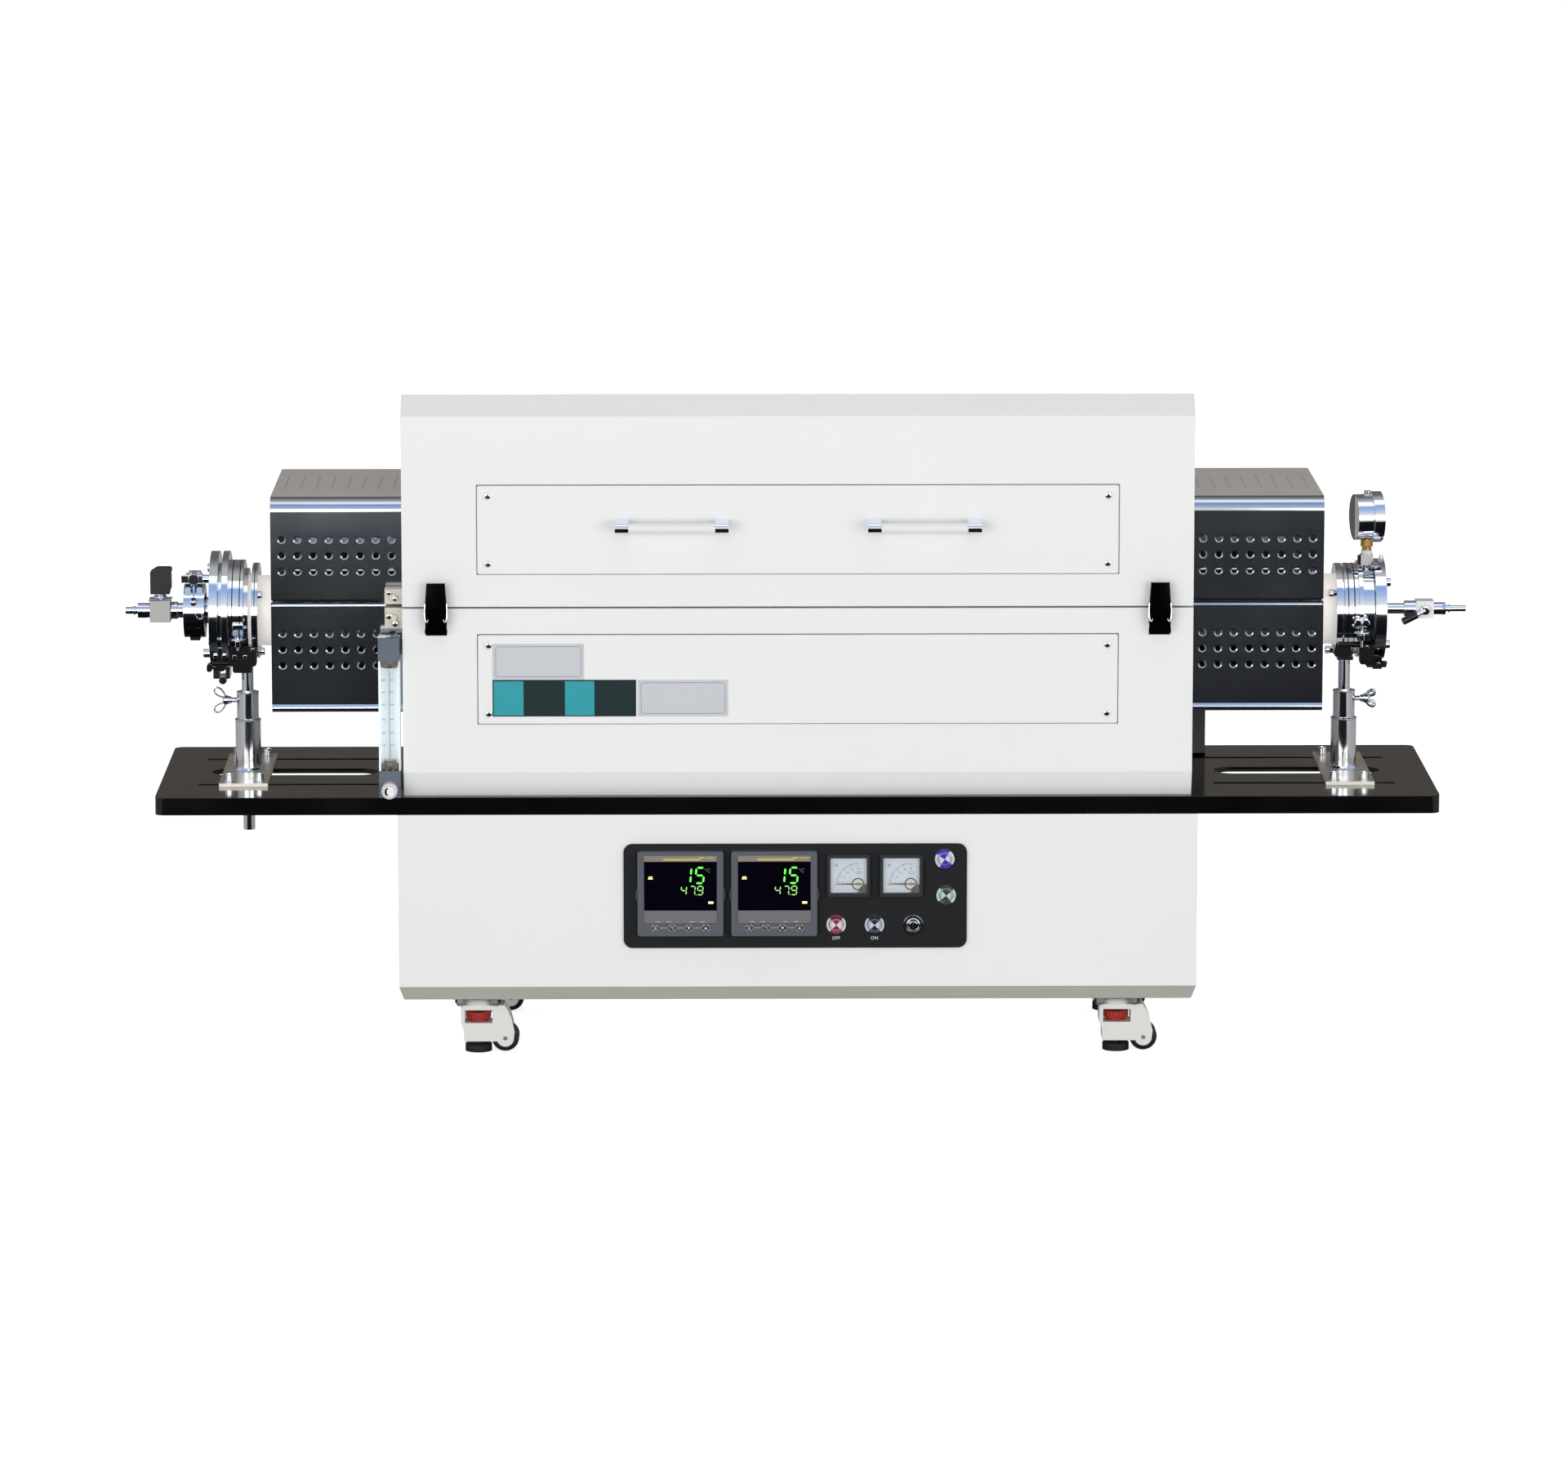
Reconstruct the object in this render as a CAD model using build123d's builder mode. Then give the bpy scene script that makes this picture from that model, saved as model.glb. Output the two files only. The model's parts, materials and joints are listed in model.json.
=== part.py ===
from build123d import *
import os
from math import cos, radians, sin, sqrt

# Split tube furnace on a bench cabinet with levelling casters. Millimetres.
# X runs along the process tube, the front faces -Y, Z is up, and the origin is on the
# floor below the middle of the cabinet.

os.makedirs("parts", exist_ok=True)

# ---------------------------------------------------------------- clearances
seat_gap = 0.3          # between a piece and the seat that it rests in
fit_gap = 0.1           # between separate pieces screwed or pressed together
run_gap = 0.4           # between a moving piece and what it passes
shaft_gap = 0.05        # radial, shaft in its bore
split_gap = 2.0         # shadow gap between the lower shell and the lid

# ---------------------------------------------------------------- levelling casters
caster_x = 360.0
caster_y = 110.0
caster_height = 67.0
caster_plate_size = 57.0
caster_plate_thick = 3.0
caster_bolt_pitch = 40.0
caster_bolt_flats = 10.0
caster_bolt_head = 5.5
neck_radius = 15.5
housing_left = 20.0
housing_right = 43.0
housing_half_width = 17.5
housing_bottom = 12.5
housing_top = 55.5
wheel_radius = 15.5
wheel_width = 20.0
wheel_offset = 30.5
wheel_floor_gap = 1.0
axle_radius = 2.5
pad_radius = 15.0
pad_thick = 8.0
pad_retract = 4.0
stem_radius = 4.0
stem_top = 58.0
dial_radius = 14.8
dial_teeth = 16
dial_bottom = 32.5
dial_thick = 10.0

# ---------------------------------------------------------------- base cabinet
sheet = 2.0
cabinet_half_length = 447.0
cabinet_height = 213.0
body_half_depth = 165.0
cabinet_bevel_high = 17.0
cabinet_bevel_deep = 13.0
cabinet_side_bevel = 5.0
vent_slot_length = 60.0
vent_slot_high = 5.0
vent_slots = 5
vent_x = 250.0
gland_x = -300.0
gland_z = 130.0
gland_radius = 14.0
gland_bore = 6.0
gland_reach = 33.0
core_inset = 117.0
core_length = 120.0
core_half_depth = 50.0
sink_length = 100.0
sink_half_depth = 60.0

# ---------------------------------------------------------------- control panel
panel_left = -195.0
panel_right = 189.0
panel_bottom = 128.6
panel_top = 247.0
panel_corner = 10.0
panel_thick = 3.0
panel_margin = 6.0
controller_x = (-131.4, -26.5)
controller_z = 191.8
controller_size = 96.0
controller_bezel = 9.0
controller_cut = 92.0
controller_depth = 62.0
window_width = 80.0
window_high = 50.0
window_drop = 9.0
window_thick = 2.0
key_offsets = (-28.2, -9.5, 9.3, 28.3)
key_drop = 38.3
key_width = 9.2
key_high = 6.8
key_travel = 0.8
key_stand = 1.2
ammeter_x = (56.6, 115.6)
ammeter_z = 212.0
ammeter_size = 48.0
ammeter_bezel = 8.0
ammeter_face_width = 41.0
ammeter_face_high = 40.0
ammeter_depth = 35.0
ammeter_cut = 44.0
pointer_length = 26.0
pointer_pivot_in = 10.0
pointer_thick = 0.6
ring_radius = 11.0
ring_stand = 3.5
ring_bore = 8.3
ring_barrel = 9.4
ring_barrel_depth = 26.0
lamp_places = ((164.0, 230.0), (165.7, 188.7))
stop_place = (42.8, 155.7)
start_place = (85.7, 155.4)
key_switch_place = (129.0, 155.4)
button_stand = 5.5
button_stem = 3.5

# ---------------------------------------------------------------- bench shelf
shelf_half_length = 718.0
shelf_lip = 20.0
shelf_plate = 3.0
shelf_corner = 10.0
slot_inner = 476.0
slot_outer = 664.0
slot_width = 43.0
bolt_slot_inner = 470.0
bolt_slot_outer = 675.0
bolt_slot_width = 10.0
bolt_slot_y = 82.0

# ---------------------------------------------------------------- furnace shells
shell_half_length = 440.0
lower_shell_height = 213.0
lower_chamfer_high = 28.0
lower_chamfer_deep = 12.0
lid_height = 235.0
lid_chamfer_high = 22.0
lid_chamfer_deep = 22.0
lid_top_fall = 0.13     # the top slopes down to the back, so none of it shows from the front
deck_inset = 26.0
deck_thick = 1.5
access_half_length = 356.0
access_thick = 2.0
access_screw_x = 345.0
access_screw_flats = 6.0
access_screw_high = 2.4
upper_access_bottom = 552.0
upper_access_top = 651.0
lower_access_bottom = 383.5
lower_access_top = 483.5
access_screw_inset = 11.5
window_inset = 14.0

# ---------------------------------------------------------------- insulation and elements
tube_height = 186.0
tube_outer = 40.0
tube_inner = 36.0
tube_left = -640.0
tube_right = 634.0
tube_room = 3.0
hot_half_length = 300.0
hot_radius = 54.0
element_radius = 3.0
element_angles_lower = (-165, -141, -117, -63, -39, -15)
element_angles_upper = (45, 75, 105, 135)
element_end_room = 6.0
block_side_gap = 1.0
block_join_gap = 0.6
thermocouple_radius = 3.0
thermocouple_x = (-120.0, 120.0)

# ---------------------------------------------------------------- lid hinge
hinge_y_out = 7.0
hinge_pin = 3.0
hinge_knuckle = 5.5
hinge_half_width = 45.0
hinge_x = 300.0
hinge_leaf = 2.5
hinge_leaf_high = 34.0

# ---------------------------------------------------------------- latches
latch_x = 402.0
latch_bottom = 483.0
latch_top = 544.0
latch_width = 24.0
latch_thick = 2.0
latch_pivot_z = 490.0
latch_pivot_out = 8.0
latch_pin = 2.0

# ---------------------------------------------------------------- handles
handle_x = 140.0
handle_z = 607.0
handle_length = 126.0
handle_end = 15.0
handle_high = 12.0
handle_front = 200.0
handle_grip_radius = 6.0

# ---------------------------------------------------------------- perforated guards
guard_length = 148.0
guard_half_depth = 127.0
guard_bottom = 389.0
guard_top = 632.0
guard_sheet = 1.5
guard_top_bend = 16.0
guard_bottom_bend = 10.0
guard_hole_room = 3.0
guard_columns = 8
guard_hole_pitch = 17.5
guard_hole_radius = 3.1
guard_rows = (35.0, 53.0, 71.0)
leg_standoff = 12.0
leg_width = 17.0
leg_y = 96.0

# ---------------------------------------------------------------- stands
stand_x = 623.0
foot_width = 55.0
foot_depth = 195.0
foot_thick = 4.0
foot_bolt_x = 17.0
foot_bolt_flats = 8.0
foot_bolt_head = 5.0
sleeve_lower_radius = 14.5
sleeve_lower_top = 361.0
sleeve_upper_radius = 12.5
sleeve_upper_top = 393.0
rod_radius = 6.75
rod_bottom = 234.0
rod_bottom_right = 306.0
saddle_high = 5.0
wing_z = 383.0
wing_screw_radius = 3.0
wing_reach = 34.0

# ---------------------------------------------------------------- flow meter
meter_standoff = 3.0
meter_width = 24.0
meter_front = -172.0
meter_depth = 24.0
meter_bottom = 301.0
meter_top = 481.0
meter_foot = 30.0
meter_head = 26.0
meter_back = 2.5
meter_glass = 6.5
meter_bore_bottom = 3.4
meter_bore_top = 5.0
meter_nut_flats = 17.0
meter_nut_high = 7.0
meter_float = 2.9
meter_knob_radius = 8.5
meter_knob_z = 311.0
meter_knob_reach = 18.0

# ---------------------------------------------------------------- left flange, clamp and valve
left_ring = (-615.0, -608.0)
left_ring_radius = 54.0
left_drum = (-641.0, -624.0)
left_drum_radius = 57.5
left_disc = (-648.0, -641.0)
left_door = (-662.0, -652.5)
left_disc_radius = 67.5
flange_bolt_circle = 47.0
flange_bolt_flats = 7.0
door_bolt_circle = 60.0
kf_neck_radius = 14.0
kf_flange_radius = 20.0
kf_flange_thick = 3.5
kf_clamp = (-693.0, -669.5)
kf_clamp_radius = 30.5
left_stem = (-709.0, -685.0)
left_stem_radius = 8.5
left_valve = (-732.0, -709.0)
left_valve_high = 24.6
left_valve_deep = 22.5
left_adaptor = -746.0
barb_end = 760.0
left_barb_radius = 4.0
right_barb_radius = 3.5
handle_lever_length = 28.0
handle_lever_width = 22.0
handle_lever_bottom = 500.0

# ---------------------------------------------------------------- right flange, valve and gauge
right_ring = (610.0, 617.0)
right_drum = (619.0, 640.0)
right_drum_radius = 52.0
right_neck = (640.0, 653.0)
right_neck_radius = 47.0
right_disc = (653.5, 666.0)
right_disc_radius = 57.0
right_stub = (666.0, 690.0)
right_stub_radius = 6.0
right_collar = (690.0, 703.0)
right_collar_radius = 9.0
right_valve = (703.0, 723.0)
right_valve_size = 20.0
right_adaptor = 733.0
right_nut = 737.0
lever_length = 42.0
lever_high = 8.0
lever_thick = 2.0
gauge_x = 646.7
gauge_z = 591.0
gauge_radius = 26.0
gauge_bezel_radius = 29.0
gauge_thick = 30.0
gauge_turn = 8.0

# ---------------------------------------------------------------- worked-out levels
cabinet_bottom = caster_height
cabinet_top = cabinet_bottom + cabinet_height
shelf_top = cabinet_top + shelf_lip
lower_top = shelf_top + lower_shell_height
lid_bottom = lower_top + split_gap
lid_top = lid_bottom + lid_height
tube_z = shelf_top + tube_height
split_z = (lower_top + lid_bottom) / 2
front = -body_half_depth
panel_front = front - panel_thick
hinge_y = body_half_depth + hinge_y_out
wheel_z = wheel_radius + wheel_floor_gap
guard_outer = shell_half_length + guard_length
leg_inner = shell_half_length + leg_standoff
meter_right = -shell_half_length - meter_standoff

casters = {
    "front_left": (-caster_x, -caster_y),
    "front_right": (caster_x, -caster_y),
    "rear_left": (-caster_x, caster_y),
    "rear_right": (caster_x, caster_y),
}
sides = {"left": -1, "right": 1}


# ---------------------------------------------------------------- shared helpers
def save(part, name):
    """Label a finished piece and write its STEP file."""
    part.label = name
    export_step(part, f"parts/{name}.step")


def four_corners(pitch_x, pitch_y):
    """The four corners of a rectangle about its middle."""
    return [(sx * pitch_x / 2, sy * pitch_y / 2) for sx in (-1, 1) for sy in (-1, 1)]


def block(x, y, z, mode=Mode.ADD):
    """A rectangular block between (low, high) pairs."""
    with Locations(((x[0] + x[1]) / 2, (y[0] + y[1]) / 2, (z[0] + z[1]) / 2)):
        Box(abs(x[1] - x[0]), abs(y[1] - y[0]), abs(z[1] - z[0]), mode=mode)


def side_plane(x, y=0.0, z=0.0):
    """A plane that faces -Y, with X to the right and Z up."""
    return Plane(origin=(x, y, z), x_dir=(1, 0, 0), z_dir=(0, -1, 0))


def rod_x(x, y, z, outer, inner=0.0, mode=Mode.ADD):
    """A round bar or ring along X, from x[0] to x[1]."""
    with BuildSketch(Plane.YZ.offset(x[0])) as section:
        with Locations((y, z)):
            Circle(outer)
            if inner:
                Circle(inner, mode=Mode.SUBTRACT)
    extrude(section.sketch, amount=x[1] - x[0], mode=mode)


def rod_y(x, y, z, outer, inner=0.0, mode=Mode.ADD):
    """A round bar or ring along Y, from y[0] back to y[1]."""
    with BuildSketch(side_plane(x, y[0], z)) as section:
        Circle(outer)
        if inner:
            Circle(inner, mode=Mode.SUBTRACT)
    extrude(section.sketch, amount=y[0] - y[1], mode=mode)


def rod_z(x, y, z, outer, inner=0.0, mode=Mode.ADD):
    """A round bar or ring along Z, from z[0] up to z[1]."""
    with BuildSketch(Plane((x, y, z[0]))) as section:
        Circle(outer)
        if inner:
            Circle(inner, mode=Mode.SUBTRACT)
    extrude(section.sketch, amount=z[1] - z[0], mode=mode)


def hex_z(x, y, z, flats):
    """A hexagon bolt head along Z."""
    with BuildSketch(Plane((x, y, z[0]))) as section:
        RegularPolygon(flats / sqrt(3), 6)
    extrude(section.sketch, amount=z[1] - z[0])


def hex_x(x, y, z, flats):
    """A hexagon nut or head along X."""
    with BuildSketch(Plane.YZ.offset(x[0])) as section:
        with Locations((y, z)):
            RegularPolygon(flats / sqrt(3), 6)
    extrude(section.sketch, amount=x[1] - x[0])


def hex_y(x, y, z, flats):
    """A hexagon head along Y."""
    with BuildSketch(side_plane(x, y[0], z)) as section:
        RegularPolygon(flats / sqrt(3), 6)
    extrude(section.sketch, amount=y[0] - y[1])


def front_profile(points, half_length, mode=Mode.ADD):
    """A closed (y, z) outline drawn in the end view and extruded along X both ways."""
    with BuildSketch(Plane.YZ) as outline:
        with BuildLine():
            Polyline(*points, close=True)
        make_face()
    extrude(outline.sketch, amount=half_length, both=True, mode=mode)


# ================================================================ levelling casters
race_z = cabinet_bottom - caster_plate_thick
with BuildPart() as caster_plates:
    for cx, cy in casters.values():
        half_plate = caster_plate_size / 2
        block((cx - half_plate, cx + half_plate), (cy - half_plate, cy + half_plate), (race_z, cabinet_bottom))
        for bx, by in four_corners(caster_bolt_pitch, caster_bolt_pitch):
            hex_z(cx + bx, cy + by, (race_z - caster_bolt_head, race_z - fit_gap), caster_bolt_flats)
save(caster_plates.part, "caster_plates")

for name, (cx, cy) in casters.items():
    front_view = side_plane(cx, cy)
    with BuildPart() as caster_housing:
        with BuildSketch(front_view) as outline:
            with BuildLine():
                Polyline(
                    (-housing_left, housing_bottom),
                    (wheel_offset - wheel_radius, housing_bottom),
                    (wheel_offset - wheel_radius, wheel_z),
                    (housing_right, wheel_z),
                    (housing_right, housing_top - 12),
                    (housing_right - 9, housing_top),
                    (-housing_left + 5, housing_top),
                    (-housing_left, housing_top - 5),
                    close=True,
                )
            make_face()
            with Locations((wheel_offset, wheel_z)):
                Circle(axle_radius + 5)
        extrude(outline.sketch, amount=housing_half_width, both=True)
        with BuildSketch(front_view) as wheel_well:
            with Locations((wheel_offset, wheel_z)):
                RegularPolygon(wheel_radius + 1, 8, major_radius=False, rotation=22.5)
            with Locations((wheel_offset, 0)):
                Rectangle(2 * wheel_radius + 2, 2 * wheel_z)
        extrude(wheel_well.sketch, amount=wheel_width / 2 + 1, both=True, mode=Mode.SUBTRACT)
        rod_z(cx, cy, (housing_top - 1, race_z - run_gap), neck_radius)
        with BuildSketch(Plane((cx, cy, housing_bottom - 1))) as stem_hole:
            RegularPolygon(stem_radius + run_gap, 8, major_radius=False)
        extrude(stem_hole.sketch, amount=race_z - housing_bottom, mode=Mode.SUBTRACT)
        dial_room = (dial_bottom - run_gap, dial_bottom + dial_thick + run_gap)
        block(
            (cx - dial_radius - 1, cx + dial_radius + 1),
            (cy - housing_half_width - 1, cy + housing_half_width + 1),
            dial_room,
            Mode.SUBTRACT,
        )
        rod_y(
            cx + wheel_offset,
            (cy - housing_half_width - 0.6, cy + housing_half_width + 0.6),
            wheel_z,
            axle_radius,
        )
        with BuildSketch(Plane((cx, cy, dial_bottom))) as dial:
            RegularPolygon(dial_radius, dial_teeth)
            RegularPolygon(stem_radius + run_gap, 8, major_radius=False, mode=Mode.SUBTRACT)
        extrude(dial.sketch, amount=dial_thick)
    save(caster_housing.part, f"caster_housing_{name}")

    with BuildPart() as caster_wheel:
        with BuildSketch(front_view) as tread:
            with Locations((wheel_offset, wheel_z)):
                Circle(wheel_radius)
                Circle(axle_radius + shaft_gap, mode=Mode.SUBTRACT)
        extrude(tread.sketch, amount=wheel_width / 2, both=True)
    save(caster_wheel.part, f"caster_wheel_{name}")

    with BuildPart() as caster_pad:
        rod_z(cx, cy, (0, pad_thick), pad_radius)
        rod_z(cx, cy, (pad_thick + fit_gap, stem_top), stem_radius)
    save(caster_pad.part, f"caster_pad_{name}")


# ================================================================ base cabinet
with BuildPart() as base_cabinet:
    front_profile(
        [
            (front + cabinet_bevel_deep, cabinet_bottom),
            (body_half_depth, cabinet_bottom),
            (body_half_depth, cabinet_top),
            (front, cabinet_top),
            (front, cabinet_bottom + cabinet_bevel_high),
        ],
        cabinet_half_length,
    )
    with BuildSketch(side_plane(0)) as end_bevels:
        with BuildLine():
            Polyline(
                (-cabinet_half_length + cabinet_side_bevel, cabinet_bottom),
                (cabinet_half_length - cabinet_side_bevel, cabinet_bottom),
                (cabinet_half_length, cabinet_bottom + cabinet_bevel_high),
                (cabinet_half_length, cabinet_top),
                (-cabinet_half_length, cabinet_top),
                (-cabinet_half_length, cabinet_bottom + cabinet_bevel_high),
                close=True,
            )
        make_face()
    extrude(end_bevels.sketch, amount=body_half_depth, both=True, mode=Mode.INTERSECT)
    offset(amount=-sheet, openings=base_cabinet.faces().sort_by(Axis.Z)[-1], kind=Kind.INTERSECTION)
    block(
        (panel_left + panel_margin, panel_right - panel_margin),
        (front - 1, front + sheet + 1),
        (panel_bottom + panel_margin, panel_top - panel_margin),
        Mode.SUBTRACT,
    )
    for vent_side in (-1, 1):
        for row in range(vent_slots):
            slot_z = cabinet_bottom + cabinet_height / 2 + (row - (vent_slots - 1) / 2) * 3 * vent_slot_high
            block(
                (vent_side * vent_x - vent_slot_length / 2, vent_side * vent_x + vent_slot_length / 2),
                (body_half_depth - sheet - 1, body_half_depth + 1),
                (slot_z - vent_slot_high / 2, slot_z + vent_slot_high / 2),
                Mode.SUBTRACT,
            )
    rod_y(
        gland_x,
        (body_half_depth - sheet - 1, body_half_depth + 1),
        gland_z,
        gland_radius - 4,
        mode=Mode.SUBTRACT,
    )
    gland_end = body_half_depth + gland_reach
    with BuildSketch(Plane((gland_x, body_half_depth + fit_gap, gland_z), x_dir=(1, 0, 0), z_dir=(0, 1, 0))) as nut:
        RegularPolygon(gland_radius, 6)
    extrude(nut.sketch, amount=8)
    rod_y(gland_x, (body_half_depth - 12, body_half_depth + 8 + fit_gap), gland_z, gland_radius - 4 - fit_gap)
    rod_y(gland_x, (body_half_depth + 8, gland_end), gland_z, gland_radius - 2)
    chamfer(base_cabinet.edges().group_by(Axis.Y)[-1], 3)
    rod_y(gland_x, (body_half_depth - 13, gland_end + 1), gland_z, gland_bore, mode=Mode.SUBTRACT)
save(base_cabinet.part, "base_cabinet")


# ================================================================ electrics in the cabinet
floor_z = cabinet_bottom + sheet + fit_gap
with BuildPart() as power_electrics:
    core_x = (core_inset - cabinet_half_length, core_inset + core_length - cabinet_half_length)
    core_y = (-core_half_depth, core_half_depth)
    core_z = (floor_z, floor_z + 96)
    block(core_x, core_y, core_z)
    limb_gap = 24.0
    core_mid = (core_x[0] + core_x[1]) / 2
    for limb_side in (-1, 1):
        limb = core_mid + limb_side * 26
        block((limb - limb_gap / 2, limb + limb_gap / 2), (-51, 51), (floor_z + 20, floor_z + 76), Mode.SUBTRACT)
    block(
        (core_mid - 26 - limb_gap / 2 + fit_gap, core_mid + 26 + limb_gap / 2 - fit_gap),
        (core_y[0] - 16, core_y[0] - fit_gap),
        (floor_z + 20.5, floor_z + 75.5),
    )
    block(
        (core_mid - 26 - limb_gap / 2 + fit_gap, core_mid + 26 + limb_gap / 2 - fit_gap),
        (core_y[1] + fit_gap, core_y[1] + 16),
        (floor_z + 20.5, floor_z + 75.5),
    )
    sink_x = (cabinet_half_length - core_inset - sink_length, cabinet_half_length - core_inset)
    sink_y = (-sink_half_depth, sink_half_depth)
    block(sink_x, sink_y, (floor_z + 42, floor_z + 50))
    for fin in range(9):
        fin_x = sink_x[0] + 2 + fin * 12
        block((fin_x - 1, fin_x + 1), sink_y, (floor_z, floor_z + 42))
    relay_x = (sink_x[0] + sink_x[1]) / 2
    block((relay_x - 23, relay_x + 23), (-29, 29), (floor_z + 50 + fit_gap, floor_z + 78))
    block((-120, 60), (70, 78), (floor_z, floor_z + 3))
    block((-110, -55), (64, 130), (floor_z + 3 + fit_gap, floor_z + 85))
    for pole in range(6):
        pole_x = -40 + pole * 14
        block((pole_x, pole_x + 12), (60, 100), (floor_z + 3 + fit_gap, floor_z + 48))
save(power_electrics.part, "power_electrics")


# ================================================================ control panel
panel_x = (panel_left + panel_right) / 2
panel_z = (panel_bottom + panel_top) / 2
button_places = [stop_place, start_place, key_switch_place]
with BuildPart() as control_panel:
    with BuildSketch(side_plane(0, front)) as plate:
        with Locations((panel_x, panel_z)):
            RectangleRounded(panel_right - panel_left, panel_top - panel_bottom, panel_corner)
        with Locations(*[(x, controller_z) for x in controller_x]):
            Rectangle(controller_cut, controller_cut, mode=Mode.SUBTRACT)
        with Locations(*[(x, ammeter_z) for x in ammeter_x]):
            Rectangle(ammeter_cut, ammeter_cut, mode=Mode.SUBTRACT)
        with Locations(*button_places):
            Circle(ring_barrel + fit_gap, mode=Mode.SUBTRACT)
    extrude(plate.sketch, amount=panel_thick)
save(control_panel.part, "control_panel")

controller_front = panel_front - controller_bezel
key_back = controller_front + 3.0
ammeter_front = panel_front - ammeter_bezel
dial_face = ammeter_front + 5.5
with BuildPart() as instrument_cases:
    for x in controller_x:
        with BuildSketch(side_plane(x, panel_front - fit_gap, controller_z)) as bezel:
            RectangleRounded(controller_size, controller_size, 3)
        extrude(bezel.sketch, amount=controller_bezel - fit_gap)
        with BuildSketch(side_plane(x, panel_front - fit_gap, controller_z)) as body:
            Rectangle(controller_cut - 1, controller_cut - 1)
        extrude(body.sketch, amount=-controller_depth)
        with BuildSketch(side_plane(x, controller_front, controller_z)) as pockets:
            with Locations((0, window_drop)):
                Rectangle(window_width, window_high)
        extrude(pockets.sketch, amount=-window_thick - fit_gap, mode=Mode.SUBTRACT)
        with BuildSketch(side_plane(x, controller_front, controller_z)) as key_holes:
            with Locations(*[(offset_x, -key_drop) for offset_x in key_offsets]):
                Rectangle(key_width + run_gap, key_high + run_gap)
        extrude(key_holes.sketch, amount=-3 - key_travel - run_gap, mode=Mode.SUBTRACT)
        block(
            (x - window_width / 2 + fit_gap, x + window_width / 2 - fit_gap),
            (controller_front + 0.3, controller_front + window_thick),
            (
                controller_z + window_drop - window_high / 2 + fit_gap,
                controller_z + window_drop + window_high / 2 - fit_gap,
            ),
        )
    for x in ammeter_x:
        with BuildSketch(side_plane(x, panel_front - fit_gap, ammeter_z)) as bezel:
            RectangleRounded(ammeter_size, ammeter_size, 2)
        extrude(bezel.sketch, amount=ammeter_bezel - fit_gap)
        with BuildSketch(side_plane(x, panel_front - fit_gap, ammeter_z)) as body:
            Rectangle(ammeter_cut - 1, ammeter_cut - 1)
        extrude(body.sketch, amount=-ammeter_depth)
        block(
            (x - ammeter_face_width / 2, x + ammeter_face_width / 2),
            (ammeter_front - 1, dial_face),
            (ammeter_z - ammeter_face_high / 2, ammeter_z + ammeter_face_high / 2),
            Mode.SUBTRACT,
        )
        block(
            (x - ammeter_face_width / 2 + fit_gap, x + ammeter_face_width / 2 - fit_gap),
            (ammeter_front + 0.3, ammeter_front + 1.8),
            (
                ammeter_z - ammeter_face_high / 2 + fit_gap,
                ammeter_z + ammeter_face_high / 2 - fit_gap,
            ),
        )
save(instrument_cases.part, "instrument_cases")

for name, x in zip(sides, controller_x):
    with BuildPart() as controller_keys:
        with BuildSketch(side_plane(x, key_back, controller_z)) as keys:
            with Locations(*[(offset_x, -key_drop) for offset_x in key_offsets]):
                Rectangle(key_width, key_high)
            chamfer(keys.vertices(), key_high / 4)
        extrude(keys.sketch, amount=3 + key_stand)
    save(controller_keys.part, f"controller_keys_{name}")

for name, x in zip(sides, ammeter_x):
    pivot_x = x + ammeter_face_width / 2 - pointer_pivot_in
    pivot_z = ammeter_z - ammeter_face_high / 2 + pointer_pivot_in
    with BuildPart() as ammeter_pointer:
        with BuildSketch(side_plane(pivot_x, dial_face - 1.2, pivot_z)) as needle:
            with BuildLine():
                Polyline((5, 0.8), (5, -0.8), (-pointer_length, -0.2), (-pointer_length, 0.2), close=True)
            make_face()
            Circle(1.8)
        extrude(needle.sketch, amount=pointer_thick)
        rod_y(pivot_x, (dial_face - 1.3, dial_face - 0.3), pivot_z, 1.2)
    save(ammeter_pointer.part, f"ammeter_pointer_{name}")

with BuildPart() as panel_bezels:
    for x, z in button_places:
        rod_y(x, (panel_front - ring_stand, panel_front - fit_gap), z, ring_radius)
        barrel_end = panel_front + ring_barrel_depth
        rod_y(x, (panel_front - fit_gap - 1, barrel_end), z, ring_barrel)
        rod_y(x, (panel_front - ring_stand - 1, barrel_end + 1), z, ring_bore, mode=Mode.SUBTRACT)
    for x, z in lamp_places:
        rod_y(x, (panel_front - ring_stand, panel_front - fit_gap), z, ring_radius, ring_bore)
        rod_y(x, (panel_front - ring_stand - 0.8, panel_front - fit_gap), z, ring_bore - fit_gap)
save(panel_bezels.part, "panel_bezels")

for name, (x, z) in {"stop_button": stop_place, "start_button": start_place}.items():
    with BuildPart() as push_button:
        rod_y(x, (panel_front - button_stand, panel_front + 6), z, ring_bore - run_gap)
        rod_y(x, (panel_front + 5, panel_front + 18), z, button_stem)
    save(push_button.part, name)

with BuildPart() as key_switch_barrel:
    x, z = key_switch_place
    rod_y(x, (panel_front - ring_stand - 1, panel_front + 16), z, ring_bore - run_gap)
    block((x - 1.1, x + 1.1), (panel_front - ring_stand - 2, panel_front + 12), (z - 4.5, z + 4.5), Mode.SUBTRACT)
save(key_switch_barrel.part, "key_switch_barrel")


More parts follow.
